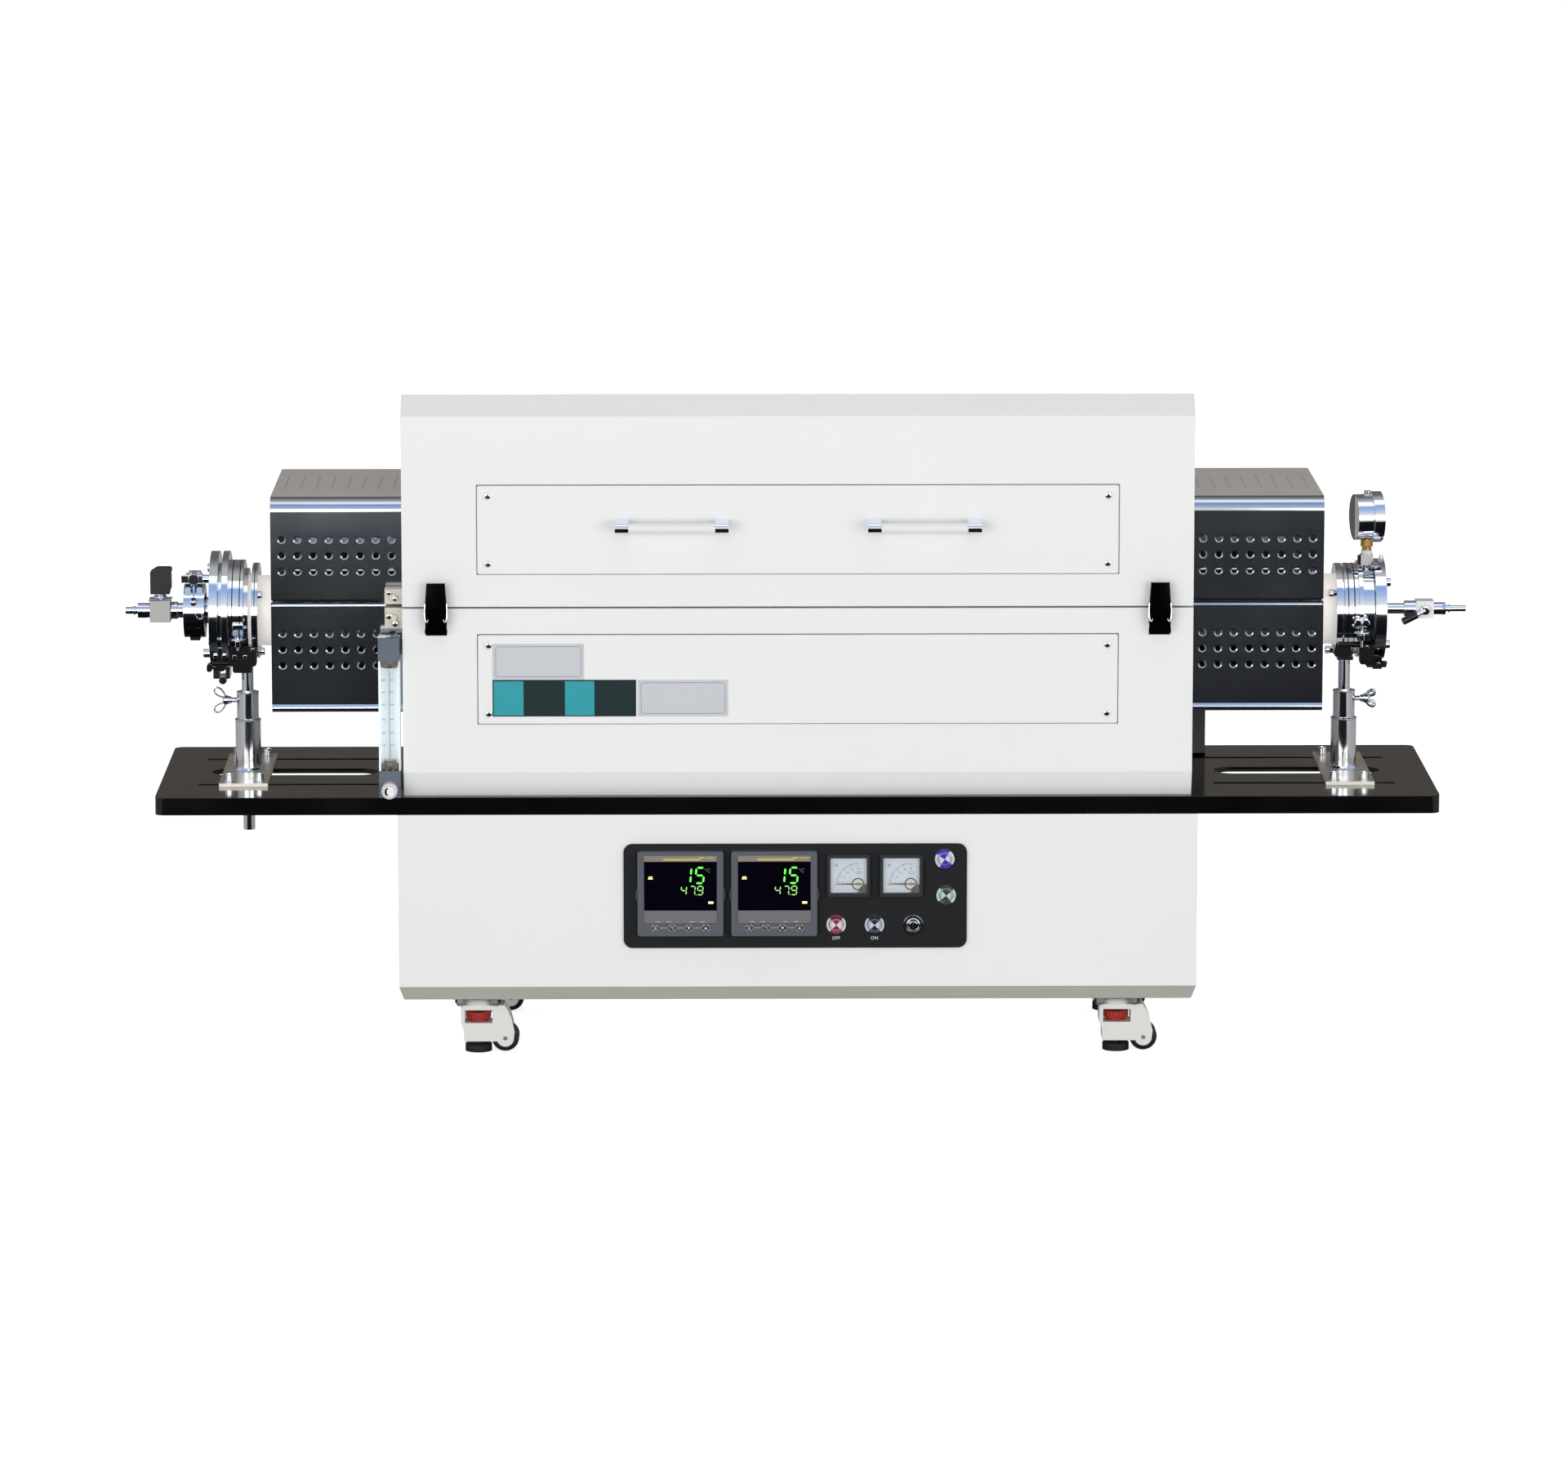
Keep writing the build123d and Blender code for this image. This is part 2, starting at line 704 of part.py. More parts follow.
# ================================================================ bench shelf
with BuildPart() as bench_shelf:
    with BuildSketch(Plane.XY.offset(cabinet_top)) as plan:
        RectangleRounded(2 * shelf_half_length, 2 * body_half_depth, shelf_corner)
    extrude(plan.sketch, amount=shelf_lip)
    with BuildSketch(Plane.XY.offset(cabinet_top)) as hollows:
        inner_depth = 2 * (body_half_depth - shelf_plate)
        wing_inner = cabinet_half_length
        wing_outer = shelf_half_length - shelf_plate
        for wing in (-1, 1):
            with Locations((wing * (wing_inner + wing_outer) / 2, 0)):
                RectangleRounded(wing_outer - wing_inner, inner_depth, shelf_corner - shelf_plate)
        Rectangle(2 * (cabinet_half_length - shelf_plate), inner_depth)
    extrude(hollows.sketch, amount=shelf_lip - shelf_plate, mode=Mode.SUBTRACT)
    with BuildSketch(Plane.XY.offset(cabinet_top)) as slots:
        for wing in (-1, 1):
            with Locations((wing * (slot_inner + slot_outer) / 2, 0)):
                SlotOverall(slot_outer - slot_inner, slot_width)
            for row in (-1, 1):
                with Locations((wing * (bolt_slot_inner + bolt_slot_outer) / 2, row * bolt_slot_y)):
                    Rectangle(bolt_slot_outer - bolt_slot_inner, bolt_slot_width)
    extrude(slots.sketch, amount=shelf_lip, mode=Mode.SUBTRACT)
save(bench_shelf.part, "bench_shelf")


# ================================================================ furnace shells
def access_screws(bottom, top):
    """Four pan-head screws at the corners of an access panel."""
    for screw_x in (-access_screw_x, access_screw_x):
        for screw_z in (bottom + access_screw_inset, top - access_screw_inset):
            screw_y = (front - access_thick - access_screw_high, front - access_thick - fit_gap)
            hex_y(screw_x, screw_y, screw_z, access_screw_flats)


def access_panel(bottom, top):
    """A flat cover plate and its screws."""
    with BuildSketch(side_plane(0, front, (bottom + top) / 2)) as cover:
        RectangleRounded(2 * access_half_length, top - bottom, 2)
    extrude(cover.sketch, amount=access_thick)
    access_screws(bottom, top)


def access_opening(bottom, top):
    """The opening behind an access panel."""
    block(
        (-access_half_length + window_inset + 8, access_half_length - window_inset - 8),
        (front - 1, front + sheet + 1),
        (bottom + window_inset + 8, top - window_inset - 8),
        Mode.SUBTRACT,
    )


def tube_slot(half_length, room, top):
    """A round-bottomed slot for the tube, open up to a level."""
    rod_x((-half_length, half_length), 0, tube_z, tube_outer + room, mode=Mode.SUBTRACT)
    block(
        (-half_length, half_length),
        (-tube_outer - room, tube_outer + room),
        (tube_z, top),
        Mode.SUBTRACT,
    )


align_x = (-shell_half_length - 20, -shell_half_length - fit_gap)
align_y = (front + 14, front + 34)

with BuildPart() as lower_shell:
    front_profile(
        [
            (front + lower_chamfer_deep, shelf_top),
            (body_half_depth, shelf_top),
            (body_half_depth, lower_top),
            (front, lower_top),
            (front, shelf_top + lower_chamfer_high),
        ],
        shell_half_length,
    )
    offset(amount=-sheet, openings=lower_shell.faces().sort_by(Axis.Z)[-1], kind=Kind.INTERSECTION)
    for deck_side in (-1, 1):
        block(
            (-shell_half_length + sheet, shell_half_length - sheet),
            (deck_side * (body_half_depth - deck_inset), deck_side * (body_half_depth - sheet)),
            (lower_top - deck_thick, lower_top),
        )
    tube_slot(shell_half_length + 1, guard_hole_room, lower_top + 1)
    access_opening(lower_access_bottom, lower_access_top)
    block(align_x, align_y, (lower_top - 24, lower_top - 1))
    hex_y((align_x[0] + align_x[1]) / 2, (align_y[0] - 4, align_y[0] - fit_gap), lower_top - 12, 7)
save(lower_shell.part, "lower_shell")

with BuildPart() as lower_access_panel:
    access_panel(lower_access_bottom, lower_access_top)
save(lower_access_panel.part, "lower_access_panel")


def lid_level(y):
    """The height of the lid's sloping top at a depth y."""
    return lid_top - lid_top_fall * (y - front - lid_chamfer_deep)


with BuildPart() as upper_shell:
    front_profile(
        [
            (front, lid_bottom),
            (body_half_depth, lid_bottom),
            (body_half_depth, lid_level(body_half_depth)),
            (front + lid_chamfer_deep, lid_top),
            (front, lid_top - lid_chamfer_high),
        ],
        shell_half_length,
    )
    offset(amount=-sheet, openings=upper_shell.faces().sort_by(Axis.Z)[0], kind=Kind.INTERSECTION)
    for deck_side in (-1, 1):
        block(
            (-shell_half_length + sheet, shell_half_length - sheet),
            (deck_side * (body_half_depth - deck_inset), deck_side * (body_half_depth - sheet)),
            (lid_bottom, lid_bottom + deck_thick),
        )
    rod_x(
        (-shell_half_length - 1, shell_half_length + 1),
        0,
        tube_z,
        tube_outer + guard_hole_room,
        mode=Mode.SUBTRACT,
    )
    access_opening(upper_access_bottom, upper_access_top)
    block(align_x, align_y, (lid_bottom + 1, lid_bottom + 18))
    hex_y((align_x[0] + align_x[1]) / 2, (align_y[0] - 4, align_y[0] - fit_gap), lid_bottom + 9, 7)
save(upper_shell.part, "upper_shell")

with BuildPart() as upper_access_panel:
    access_panel(upper_access_bottom, upper_access_top)
save(upper_access_panel.part, "upper_access_panel")


# ================================================================ insulation, elements and tube
insulation_half_length = shell_half_length - sheet - block_side_gap
insulation_half_depth = body_half_depth - deck_inset - block_side_gap
element_circle = hot_radius - element_radius - seat_gap


def element_line(angles):
    """The serpentine centre line of one half's element: straight runs joined at their ends."""
    reach = hot_half_length - element_end_room
    points = []
    for number, angle in enumerate(angles):
        y = element_circle * cos(radians(angle))
        z = tube_z + element_circle * sin(radians(angle))
        ends = (-reach, reach) if number % 2 == 0 else (reach, -reach)
        points += [(end, y, z) for end in ends]
    return points


def element(angles):
    """A bar element bent to and fro along the hot zone."""
    points = element_line(angles)
    with BuildLine() as route:
        Polyline(*points)
    start = Plane(origin=points[0], z_dir=(1, 0, 0))
    with BuildSketch(start) as section:
        RegularPolygon(element_radius, 6)
    sweep(section.sketch, path=route.line, transition=Transition.RIGHT)


with BuildPart() as lower_heater:
    block(
        (-insulation_half_length, insulation_half_length),
        (-insulation_half_depth, insulation_half_depth),
        (shelf_top + sheet + fit_gap, split_z - block_join_gap / 2),
    )
    tube_slot(insulation_half_length + 1, tube_room, split_z)
    tube_slot(hot_half_length, hot_radius - tube_outer, split_z)
    for couple_x in thermocouple_x:
        couple_y = (tube_outer + 1.5, body_half_depth - sheet - fit_gap)
        rod_y(couple_x, (0, couple_y[1]), tube_z, thermocouple_radius + seat_gap, mode=Mode.SUBTRACT)
    for couple_x in thermocouple_x:
        rod_y(couple_x, couple_y, tube_z, thermocouple_radius)
    element(element_angles_lower)
save(lower_heater.part, "lower_heater")

with BuildPart() as upper_heater:
    heater_room = 2 * sheet + fit_gap
    front_profile(
        [
            (-insulation_half_depth, split_z + block_join_gap / 2),
            (insulation_half_depth, split_z + block_join_gap / 2),
            (insulation_half_depth, lid_level(insulation_half_depth) - heater_room),
            (-insulation_half_depth, lid_level(-insulation_half_depth) - heater_room),
        ],
        insulation_half_length,
    )
    rod_x(
        (-insulation_half_length - 1, insulation_half_length + 1),
        0,
        tube_z,
        tube_outer + tube_room,
        mode=Mode.SUBTRACT,
    )
    rod_x((-hot_half_length, hot_half_length), 0, tube_z, hot_radius, mode=Mode.SUBTRACT)
    element(element_angles_upper)
save(upper_heater.part, "upper_heater")

with BuildPart() as process_tube:
    rod_x((tube_left, tube_right), 0, tube_z, tube_outer, tube_inner)
save(process_tube.part, "process_tube")


# ================================================================ lid hinges
leaf_plane_y = (body_half_depth, body_half_depth + hinge_leaf)
leaf_clear = hinge_knuckle + 0.8
knuckle_third = hinge_half_width / 3
with BuildPart() as hinge_leaves_lower:
    for x in (-hinge_x, hinge_x):
        block(
            (x - hinge_half_width, x + hinge_half_width),
            leaf_plane_y,
            (split_z - hinge_leaf_high, split_z - leaf_clear),
        )
        for end in (-1, 1):
            tab = (x + end * knuckle_third, x + end * hinge_half_width)
            block((min(tab), max(tab)), (leaf_plane_y[0], hinge_y), (split_z - leaf_clear, split_z - 1.5))
            rod_x((min(tab), max(tab)), hinge_y, split_z, hinge_knuckle)
        rod_x((x - knuckle_third - 1, x + knuckle_third + 1), hinge_y, split_z, hinge_pin)
save(hinge_leaves_lower.part, "hinge_leaves_lower")

with BuildPart() as hinge_leaves_upper:
    for x in (-hinge_x, hinge_x):
        block(
            (x - hinge_half_width, x + hinge_half_width),
            leaf_plane_y,
            (split_z + leaf_clear, split_z + hinge_leaf_high),
        )
        tab = (x - knuckle_third + run_gap, x + knuckle_third - run_gap)
        block(tab, (leaf_plane_y[0], hinge_y), (split_z + 1.5, split_z + leaf_clear))
        rod_x(tab, hinge_y, split_z, hinge_knuckle)
        rod_x(tab, hinge_y, split_z, hinge_pin + shaft_gap, mode=Mode.SUBTRACT)
save(hinge_leaves_upper.part, "hinge_leaves_upper")


# ================================================================ latches
pivot_y = front - latch_pivot_out
ear_thick = 1.6
lever_half = latch_width / 2 - ear_thick - run_gap
with BuildPart() as latch_bases:
    for x in (-latch_x, latch_x):
        block((x - latch_width / 2, x + latch_width / 2), (front - 1.6, front), (latch_bottom, latch_bottom + 24))
        for end in (-1, 1):
            ear = (x + end * (latch_width / 2 - ear_thick), x + end * latch_width / 2)
            with BuildSketch(Plane.YZ.offset(min(ear))) as cheek:
                with Locations((pivot_y, latch_pivot_z)):
                    Circle(latch_pin + 2)
                with Locations(((front + pivot_y) / 2, latch_pivot_z)):
                    Rectangle(latch_pivot_out, 2 * latch_pin + 4)
            extrude(cheek.sketch, amount=ear_thick)
        rod_x((x - latch_width / 2, x + latch_width / 2), pivot_y, latch_pivot_z, latch_pin)
save(latch_bases.part, "latch_bases")

keeper_bottom = lid_bottom + 4
with BuildPart() as latch_keepers:
    for x in (-latch_x, latch_x):
        block((x - 8, x + 8), (front - 1.6, front), (keeper_bottom, latch_top - 2))
        with BuildSketch(Plane.YZ.offset(x - 6)) as hook:
            with BuildLine():
                Polyline(
                    (front - 1.0, keeper_bottom + 5),
                    (front - 5.0, keeper_bottom + 8),
                    (front - 5.0, latch_top - 7),
                    (front - 1.0, latch_top - 4),
                    close=True,
                )
            make_face()
        extrude(hook.sketch, amount=12)
save(latch_keepers.part, "latch_keepers")

for name, side in sides.items():
    x = side * latch_x
    with BuildPart() as latch_lever:
        with BuildSketch(Plane.YZ.offset(x - lever_half)) as blade:
            with BuildLine():
                outer = ThreePointArc(
                    (pivot_y - 3, latch_pivot_z - 1),
                    (front - 18, (latch_pivot_z + latch_top) / 2),
                    (front - 7.5, latch_top),
                )
                Line(outer @ 1, (front - 5.5, latch_top))
                inner = ThreePointArc(
                    (front - 5.5, latch_top),
                    (front - 18 + latch_thick, (latch_pivot_z + latch_top) / 2),
                    (pivot_y - 1, latch_pivot_z + 1),
                )
                Line(inner @ 1, outer @ 0)
            make_face()
            with Locations((pivot_y, latch_pivot_z)):
                Circle(latch_pin + 1.8)
        extrude(blade.sketch, amount=2 * lever_half)
        rod_x((x - lever_half, x + lever_half), pivot_y, latch_pivot_z, latch_pin + shaft_gap, mode=Mode.SUBTRACT)
    save(latch_lever.part, f"latch_lever_{name}")


# ================================================================ handles on the lid
handle_seat = front - access_thick
grip_half = handle_length / 2 - handle_end
grip_y = -handle_front + handle_grip_radius
with BuildPart() as handle_brackets:
    for side in sides.values():
        for end in (-1, 1):
            start = side * handle_x + end * grip_half
            stop = side * handle_x + end * handle_length / 2
            with BuildSketch(Plane.YZ.offset(min(start, stop))) as cheek:
                with Locations((grip_y, handle_z)):
                    Circle(handle_high / 2)
                with Locations(((grip_y + handle_seat) / 2, handle_z)):
                    Rectangle(handle_seat - grip_y, handle_high)
            extrude(cheek.sketch, amount=handle_end)
save(handle_brackets.part, "handle_brackets")

with BuildPart() as handle_grips:
    for side in sides.values():
        middle = side * handle_x
        rod_x((middle - grip_half + fit_gap, middle + grip_half - fit_gap), grip_y, handle_z, handle_grip_radius)
save(handle_grips.part, "handle_grips")


# ================================================================ perforated guards
def guard_shell(side, bottom, top, bend, bend_at_top):
    """One half of a folded end guard, open towards the furnace and at the split."""
    inner_x, outer_x = side * shell_half_length, side * guard_outer
    with BuildPart() as shell:
        block(
            (min(inner_x, outer_x), max(inner_x, outer_x)),
            (-guard_half_depth, guard_half_depth),
            (bottom, top),
        )
        long_edges = shell.edges().filter_by(Axis.X).group_by(Axis.Z)
        fillet(long_edges[-1] if bend_at_top else long_edges[0], bend)
        open_end = shell.faces().sort_by(Axis.X)[0 if side > 0 else -1]
        open_split = shell.faces().sort_by(Axis.Z)[0 if bend_at_top else -1]
        offset(amount=-guard_sheet, openings=[open_end, open_split], kind=Kind.INTERSECTION)
    return shell.part


def guard_perforations(side, up):
    """The punched holes of one half's front sheet, six-sided to keep the mesh light."""
    middle = side * (shell_half_length + guard_outer) / 2
    columns = [(n - (guard_columns - 1) / 2) * guard_hole_pitch for n in range(guard_columns)]
    with BuildSketch(side_plane(middle, -guard_half_depth + guard_sheet + 1, split_z)) as holes:
        with Locations(*[(x, up * row) for x in columns for row in guard_rows]):
            RegularPolygon(guard_hole_radius, 6)
    extrude(holes.sketch, amount=guard_sheet + 2, mode=Mode.SUBTRACT)


with BuildPart() as lower_guards:
    for side in sides.values():
        add(guard_shell(side, guard_bottom, lower_top, guard_bottom_bend, False))
    tube_slot(guard_outer + 1, guard_hole_room, lower_top + 1)
    for side in sides.values():
        guard_perforations(side, -1)
    for side in sides.values():
        leg = (side * leg_inner, side * (leg_inner + leg_width))
        leg_z = (shelf_top, guard_bottom - fit_gap)
        block((min(leg), max(leg)), (leg_y, leg_y + 3), leg_z)
        block((min(leg), max(leg)), (leg_y, leg_y + leg_width), (shelf_top, shelf_top + 3))
        block((min(leg), max(leg)), (leg_y, leg_y + leg_width), (leg_z[1] - 3, leg_z[1]))
save(lower_guards.part, "lower_guards")

with BuildPart() as upper_guards:
    for side in sides.values():
        add(guard_shell(side, lid_bottom, guard_top, guard_top_bend, True))
    rod_x((-guard_outer - 1, guard_outer + 1), 0, tube_z, tube_outer + guard_hole_room, mode=Mode.SUBTRACT)
    for side in sides.values():
        guard_perforations(side, 1)
save(upper_guards.part, "upper_guards")


# ================================================================ flow meter
meter_x = meter_right - meter_width / 2
meter_y = meter_front + meter_depth / 2
meter_span_x = (meter_right - meter_width, meter_right)
meter_span_y = (meter_front, meter_front + meter_depth)
nut_low = meter_bottom + meter_foot
nut_high = meter_top - meter_head - meter_nut_high
with BuildPart() as flow_meter_body:
    block(meter_span_x, meter_span_y, (meter_bottom, nut_low - fit_gap))
    block(meter_span_x, meter_span_y, (nut_high + meter_nut_high + fit_gap, meter_top))
    block(meter_span_x, (meter_span_y[1] - meter_back, meter_span_y[1]), (meter_bottom, meter_top))
    rod_y(
        meter_x,
        (meter_front - 1, meter_front + 8),
        meter_knob_z,
        3 + shaft_gap,
        mode=Mode.SUBTRACT,
    )
    bracket_y = (meter_span_y[1] + fit_gap, meter_span_y[1] + 3)
    block((meter_span_x[0], -shell_half_length), bracket_y, (meter_bottom + 4, nut_low - 4))
    block((meter_span_x[0], -shell_half_length), bracket_y, (meter_top - meter_head + 4, meter_top - 4))
    block((-shell_half_length - 1.6, -shell_half_length), (bracket_y[0], bracket_y[1] + 10), (meter_bottom + 4, nut_low - 4))
    block(
        (-shell_half_length - 1.6, -shell_half_length),
        (bracket_y[0], bracket_y[1] + 10),
        (meter_top - meter_head + 4, meter_top - 4),
    )
    for nut_z in (nut_low, nut_high):
        hex_z(meter_x, meter_y, (nut_z, nut_z + meter_nut_high), meter_nut_flats)
        rod_z(meter_x, meter_y, (nut_z - 1, nut_z + meter_nut_high + 1), meter_glass + fit_gap, mode=Mode.SUBTRACT)
save(flow_meter_body.part, "flow_meter_body")

glass_z = (nut_low - fit_gap + 0.2, nut_high + meter_nut_high + fit_gap - 0.2)
with BuildPart() as flow_meter_tube:
    with BuildSketch(side_plane(meter_x, meter_y)) as wall:
        with BuildLine():
            Polyline(
                (meter_bore_bottom, glass_z[0]),
                (meter_glass, glass_z[0]),
                (meter_glass, glass_z[1]),
                (meter_bore_top, glass_z[1]),
                close=True,
            )
        make_face()
    revolve(wall.sketch, axis=Axis((meter_x, meter_y, 0), (0, 0, 1)))
save(flow_meter_tube.part, "flow_meter_tube")

float_bottom = nut_low + fit_gap
with BuildPart() as flow_meter_float:
    with BuildSketch(side_plane(meter_x, meter_y)) as plumb:
        with BuildLine():
            Polyline(
                (0, float_bottom),
                (0.8, float_bottom),
                (meter_float, float_bottom + 6),
                (meter_float, float_bottom + 8.5),
                (0, float_bottom + 8.5),
                close=True,
            )
        make_face()
    revolve(plumb.sketch, axis=Axis((meter_x, meter_y, 0), (0, 0, 1)))
save(flow_meter_float.part, "flow_meter_float")

with BuildPart() as flow_meter_knob:
    knob_y = (meter_front - meter_knob_reach, meter_front - run_gap)
    rod_y(meter_x, knob_y, meter_knob_z, meter_knob_radius)
    chamfer(flow_meter_knob.edges().group_by(Axis.Y)[0], 1)
    rod_y(meter_x, (knob_y[1] - 1, meter_front + 7.5), meter_knob_z, 3)
save(flow_meter_knob.part, "flow_meter_knob")


# ================================================================ end flanges
def ring_bolts(x, circle_radius, count, start_angle=0.0):
    """Screw heads around the tube axis, between x[0] and x[1]."""
    with BuildSketch(Plane.YZ.offset(x[0])) as heads:
        with Locations((0, tube_z)):
            with PolarLocations(circle_radius, count, start_angle=start_angle):
                RegularPolygon(flange_bolt_flats / sqrt(3), 6)
    extrude(heads.sketch, amount=x[1] - x[0])


tube_fit = tube_outer + seat_gap
with BuildPart() as left_flange:
    rod_x(left_ring, 0, tube_z, left_ring_radius, tube_fit)
    rod_x((left_drum[1] + fit_gap, left_drum[1] + 4.8), 0, tube_z, tube_outer + 8, tube_fit)
    ring_bolts((left_ring[1] + fit_gap, left_ring[1] + 4), flange_bolt_circle, 3, 30)
    rod_x(left_drum, 0, tube_z, left_drum_radius, tube_fit)
    rod_x(left_disc, 0, tube_z, left_disc_radius, tube_inner)
    rod_x((left_door[1] + fit_gap, left_disc[0] - fit_gap), 0, tube_z, tube_outer + 14, tube_inner + 2)
    rod_x(left_door, 0, tube_z, left_disc_radius)
    ring_bolts((left_door[0] - 5, left_door[0] - fit_gap), door_bolt_circle, 4, 45)
    neck_x = (kf_clamp[1] - kf_flange_thick - 7, left_door[0] + 1)
    rod_x(neck_x, 0, tube_z, kf_neck_radius)
    rod_x((neck_x[0], neck_x[0] + kf_flange_thick), 0, tube_z, kf_flange_radius)
    left_lug_z = tube_z - left_disc_radius + 3
    block((left_disc[0] + 1, left_disc[1] - 1), (-14, 14), (left_lug_z - 12, left_lug_z))
    block((left_door[0] + 1, left_door[1] - 1), (-14, 14), (left_lug_z - 12, left_lug_z))
    rod_y(
        (left_disc[0] + left_door[1]) / 2,
        (-13, 13),
        left_lug_z - 14,
        4.5,
    )
save(left_flange.part, "left_flange")

with BuildPart() as right_flange:
    rod_x(right_ring, 0, tube_z, right_drum_radius, tube_fit)
    rod_x((right_ring[1] + fit_gap, right_drum[0] - fit_gap), 0, tube_z, tube_outer + 8, tube_fit)
    ring_bolts((right_ring[0] - 4, right_ring[0] - fit_gap), flange_bolt_circle, 3, 30)
    rod_x(right_drum, 0, tube_z, right_drum_radius, tube_fit)
    rod_x((right_drum[1] - 5, right_drum[1]), 0, tube_z, right_drum_radius + 3, right_drum_radius - 1)
    rod_x((right_drum[1] - 1, right_neck[1]), 0, tube_z, right_neck_radius, tube_inner)
    rod_x(right_disc, 0, tube_z, right_disc_radius)
    ring_bolts((right_disc[1] + fit_gap, right_disc[1] + 4), 50, 4, 45)
    right_lug_z = tube_z - right_disc_radius + 3
    block((right_disc[0] + 1, right_disc[1] - 1), (-10, 10), (right_lug_z - 14, right_lug_z))
save(right_flange.part, "right_flange")

with BuildPart() as kf_clamp_ring:
    rod_x(kf_clamp, 0, tube_z, kf_clamp_radius, kf_flange_radius + seat_gap)
    clamp_mid = (kf_clamp[0] + kf_clamp[1]) / 2
    lug_z = tube_z + kf_clamp_radius - 2
    for lug in (-1, 1):
        lug_y = (lug * 3, lug * 9)
        block((clamp_mid - 7, clamp_mid + 7), (min(lug_y), max(lug_y)), (lug_z, lug_z + 16))
    block((kf_clamp[0] - 1, kf_clamp[1] + 1), (-1.5, 1.5), (tube_z, lug_z + 17), Mode.SUBTRACT)
    rod_y(clamp_mid, (-16, 20), lug_z + 10, 2.5)
    rod_y(clamp_mid, (-22, -15), lug_z + 10, 6)
    block((clamp_mid - 14, clamp_mid + 14), (-20, -17), (lug_z + 6, lug_z + 14))
save(kf_clamp_ring.part, "kf_clamp")


# ================================================================ gas valves
def barb(x_root, side, radius):
    """A hose tail: a plain round end with a raised ring behind it."""
    tip = side * barb_end
    rod_x((min(x_root, tip), max(x_root, tip)), 0, tube_z, radius)
    ridge = (x_root + side * 3, x_root + side * 5)
    rod_x((min(ridge), max(ridge)), 0, tube_z, radius + 1)


with BuildPart() as valve_bodies:
    flange_x = (kf_clamp[0] + 6.5, kf_clamp[0] + 6.5 + kf_flange_thick)
    rod_x(flange_x, 0, tube_z, kf_flange_radius)
    rod_x((left_stem[0], flange_x[0] + 1), 0, tube_z, left_stem_radius)
    block(
        left_valve,
        (-left_valve_deep / 2, left_valve_deep / 2),
        (tube_z - left_valve_high / 2, tube_z + left_valve_high / 2),
    )
    left_valve_x = (left_valve[0] + left_valve[1]) / 2
    rod_x((left_adaptor, left_valve[0]), 0, tube_z, 8.5)
    barb(left_adaptor, -1, left_barb_radius)
    rod_z(
        left_valve_x,
        0,
        (tube_z + left_valve_high / 2 - 8, tube_z + left_valve_high / 2 + 1),
        4 + shaft_gap,
        mode=Mode.SUBTRACT,
    )
    rod_x((right_disc[1] + fit_gap, right_stub[1]), 0, tube_z, right_stub_radius)
    rod_x(right_collar, 0, tube_z, right_collar_radius)
    block(
        right_valve,
        (-right_valve_size / 2, right_valve_size / 2),
        (tube_z - right_valve_size / 2, tube_z + right_valve_size / 2),
    )
    rod_x((right_valve[1], right_adaptor), 0, tube_z, 7)
    hex_x((right_adaptor, right_nut), 0, tube_z, 13)
    barb(right_nut, 1, right_barb_radius)
    right_valve_x = (right_valve[0] + right_valve[1]) / 2
    rod_y(
        right_valve_x,
        (-right_valve_size / 2 - 1, -right_valve_size / 2 + 6),
        tube_z,
        4 + shaft_gap,
        mode=Mode.SUBTRACT,
    )
save(valve_bodies.part, "valve_bodies")

with BuildPart() as left_valve_handle:
    stem_z = tube_z + left_valve_high / 2
    rod_z(left_valve_x, 0, (stem_z - 7.5, handle_lever_bottom + 1), 4)
    rod_z(left_valve_x, 0, (stem_z + run_gap, handle_lever_bottom + 4), 8)
    with BuildSketch(side_plane(left_valve_x, 4.5, 0)) as wing:
        with BuildLine():
            Polyline(
                (-7, handle_lever_bottom),
                (7, handle_lever_bottom),
                (handle_lever_width / 2, handle_lever_bottom + 10),
                (handle_lever_width / 2, handle_lever_bottom + handle_lever_length),
                (-handle_lever_width / 2, handle_lever_bottom + handle_lever_length),
                (-handle_lever_width / 2, handle_lever_bottom + 10),
                close=True,
            )
        make_face()
    extrude(wing.sketch, amount=9)
    fillet(left_valve_handle.edges().filter_by(Axis.Y).group_by(Axis.Z)[-1], 4)
save(left_valve_handle.part, "left_valve_handle")

with BuildPart() as right_valve_lever:
    plate_back = -right_valve_size / 2 - run_gap - 2
    with BuildSketch(side_plane(right_valve_x, plate_back, tube_z)) as plate:
        with Locations((-lever_length / 2 + 5, 0)):
            SlotOverall(lever_length, lever_high)
        Circle(6)
    extrude(plate.sketch, amount=lever_thick)
    rod_y(right_valve_x, (plate_back - lever_thick - 2, -right_valve_size / 2 + 5.5), tube_z, 4)
save(right_valve_lever.part, "right_valve_lever")


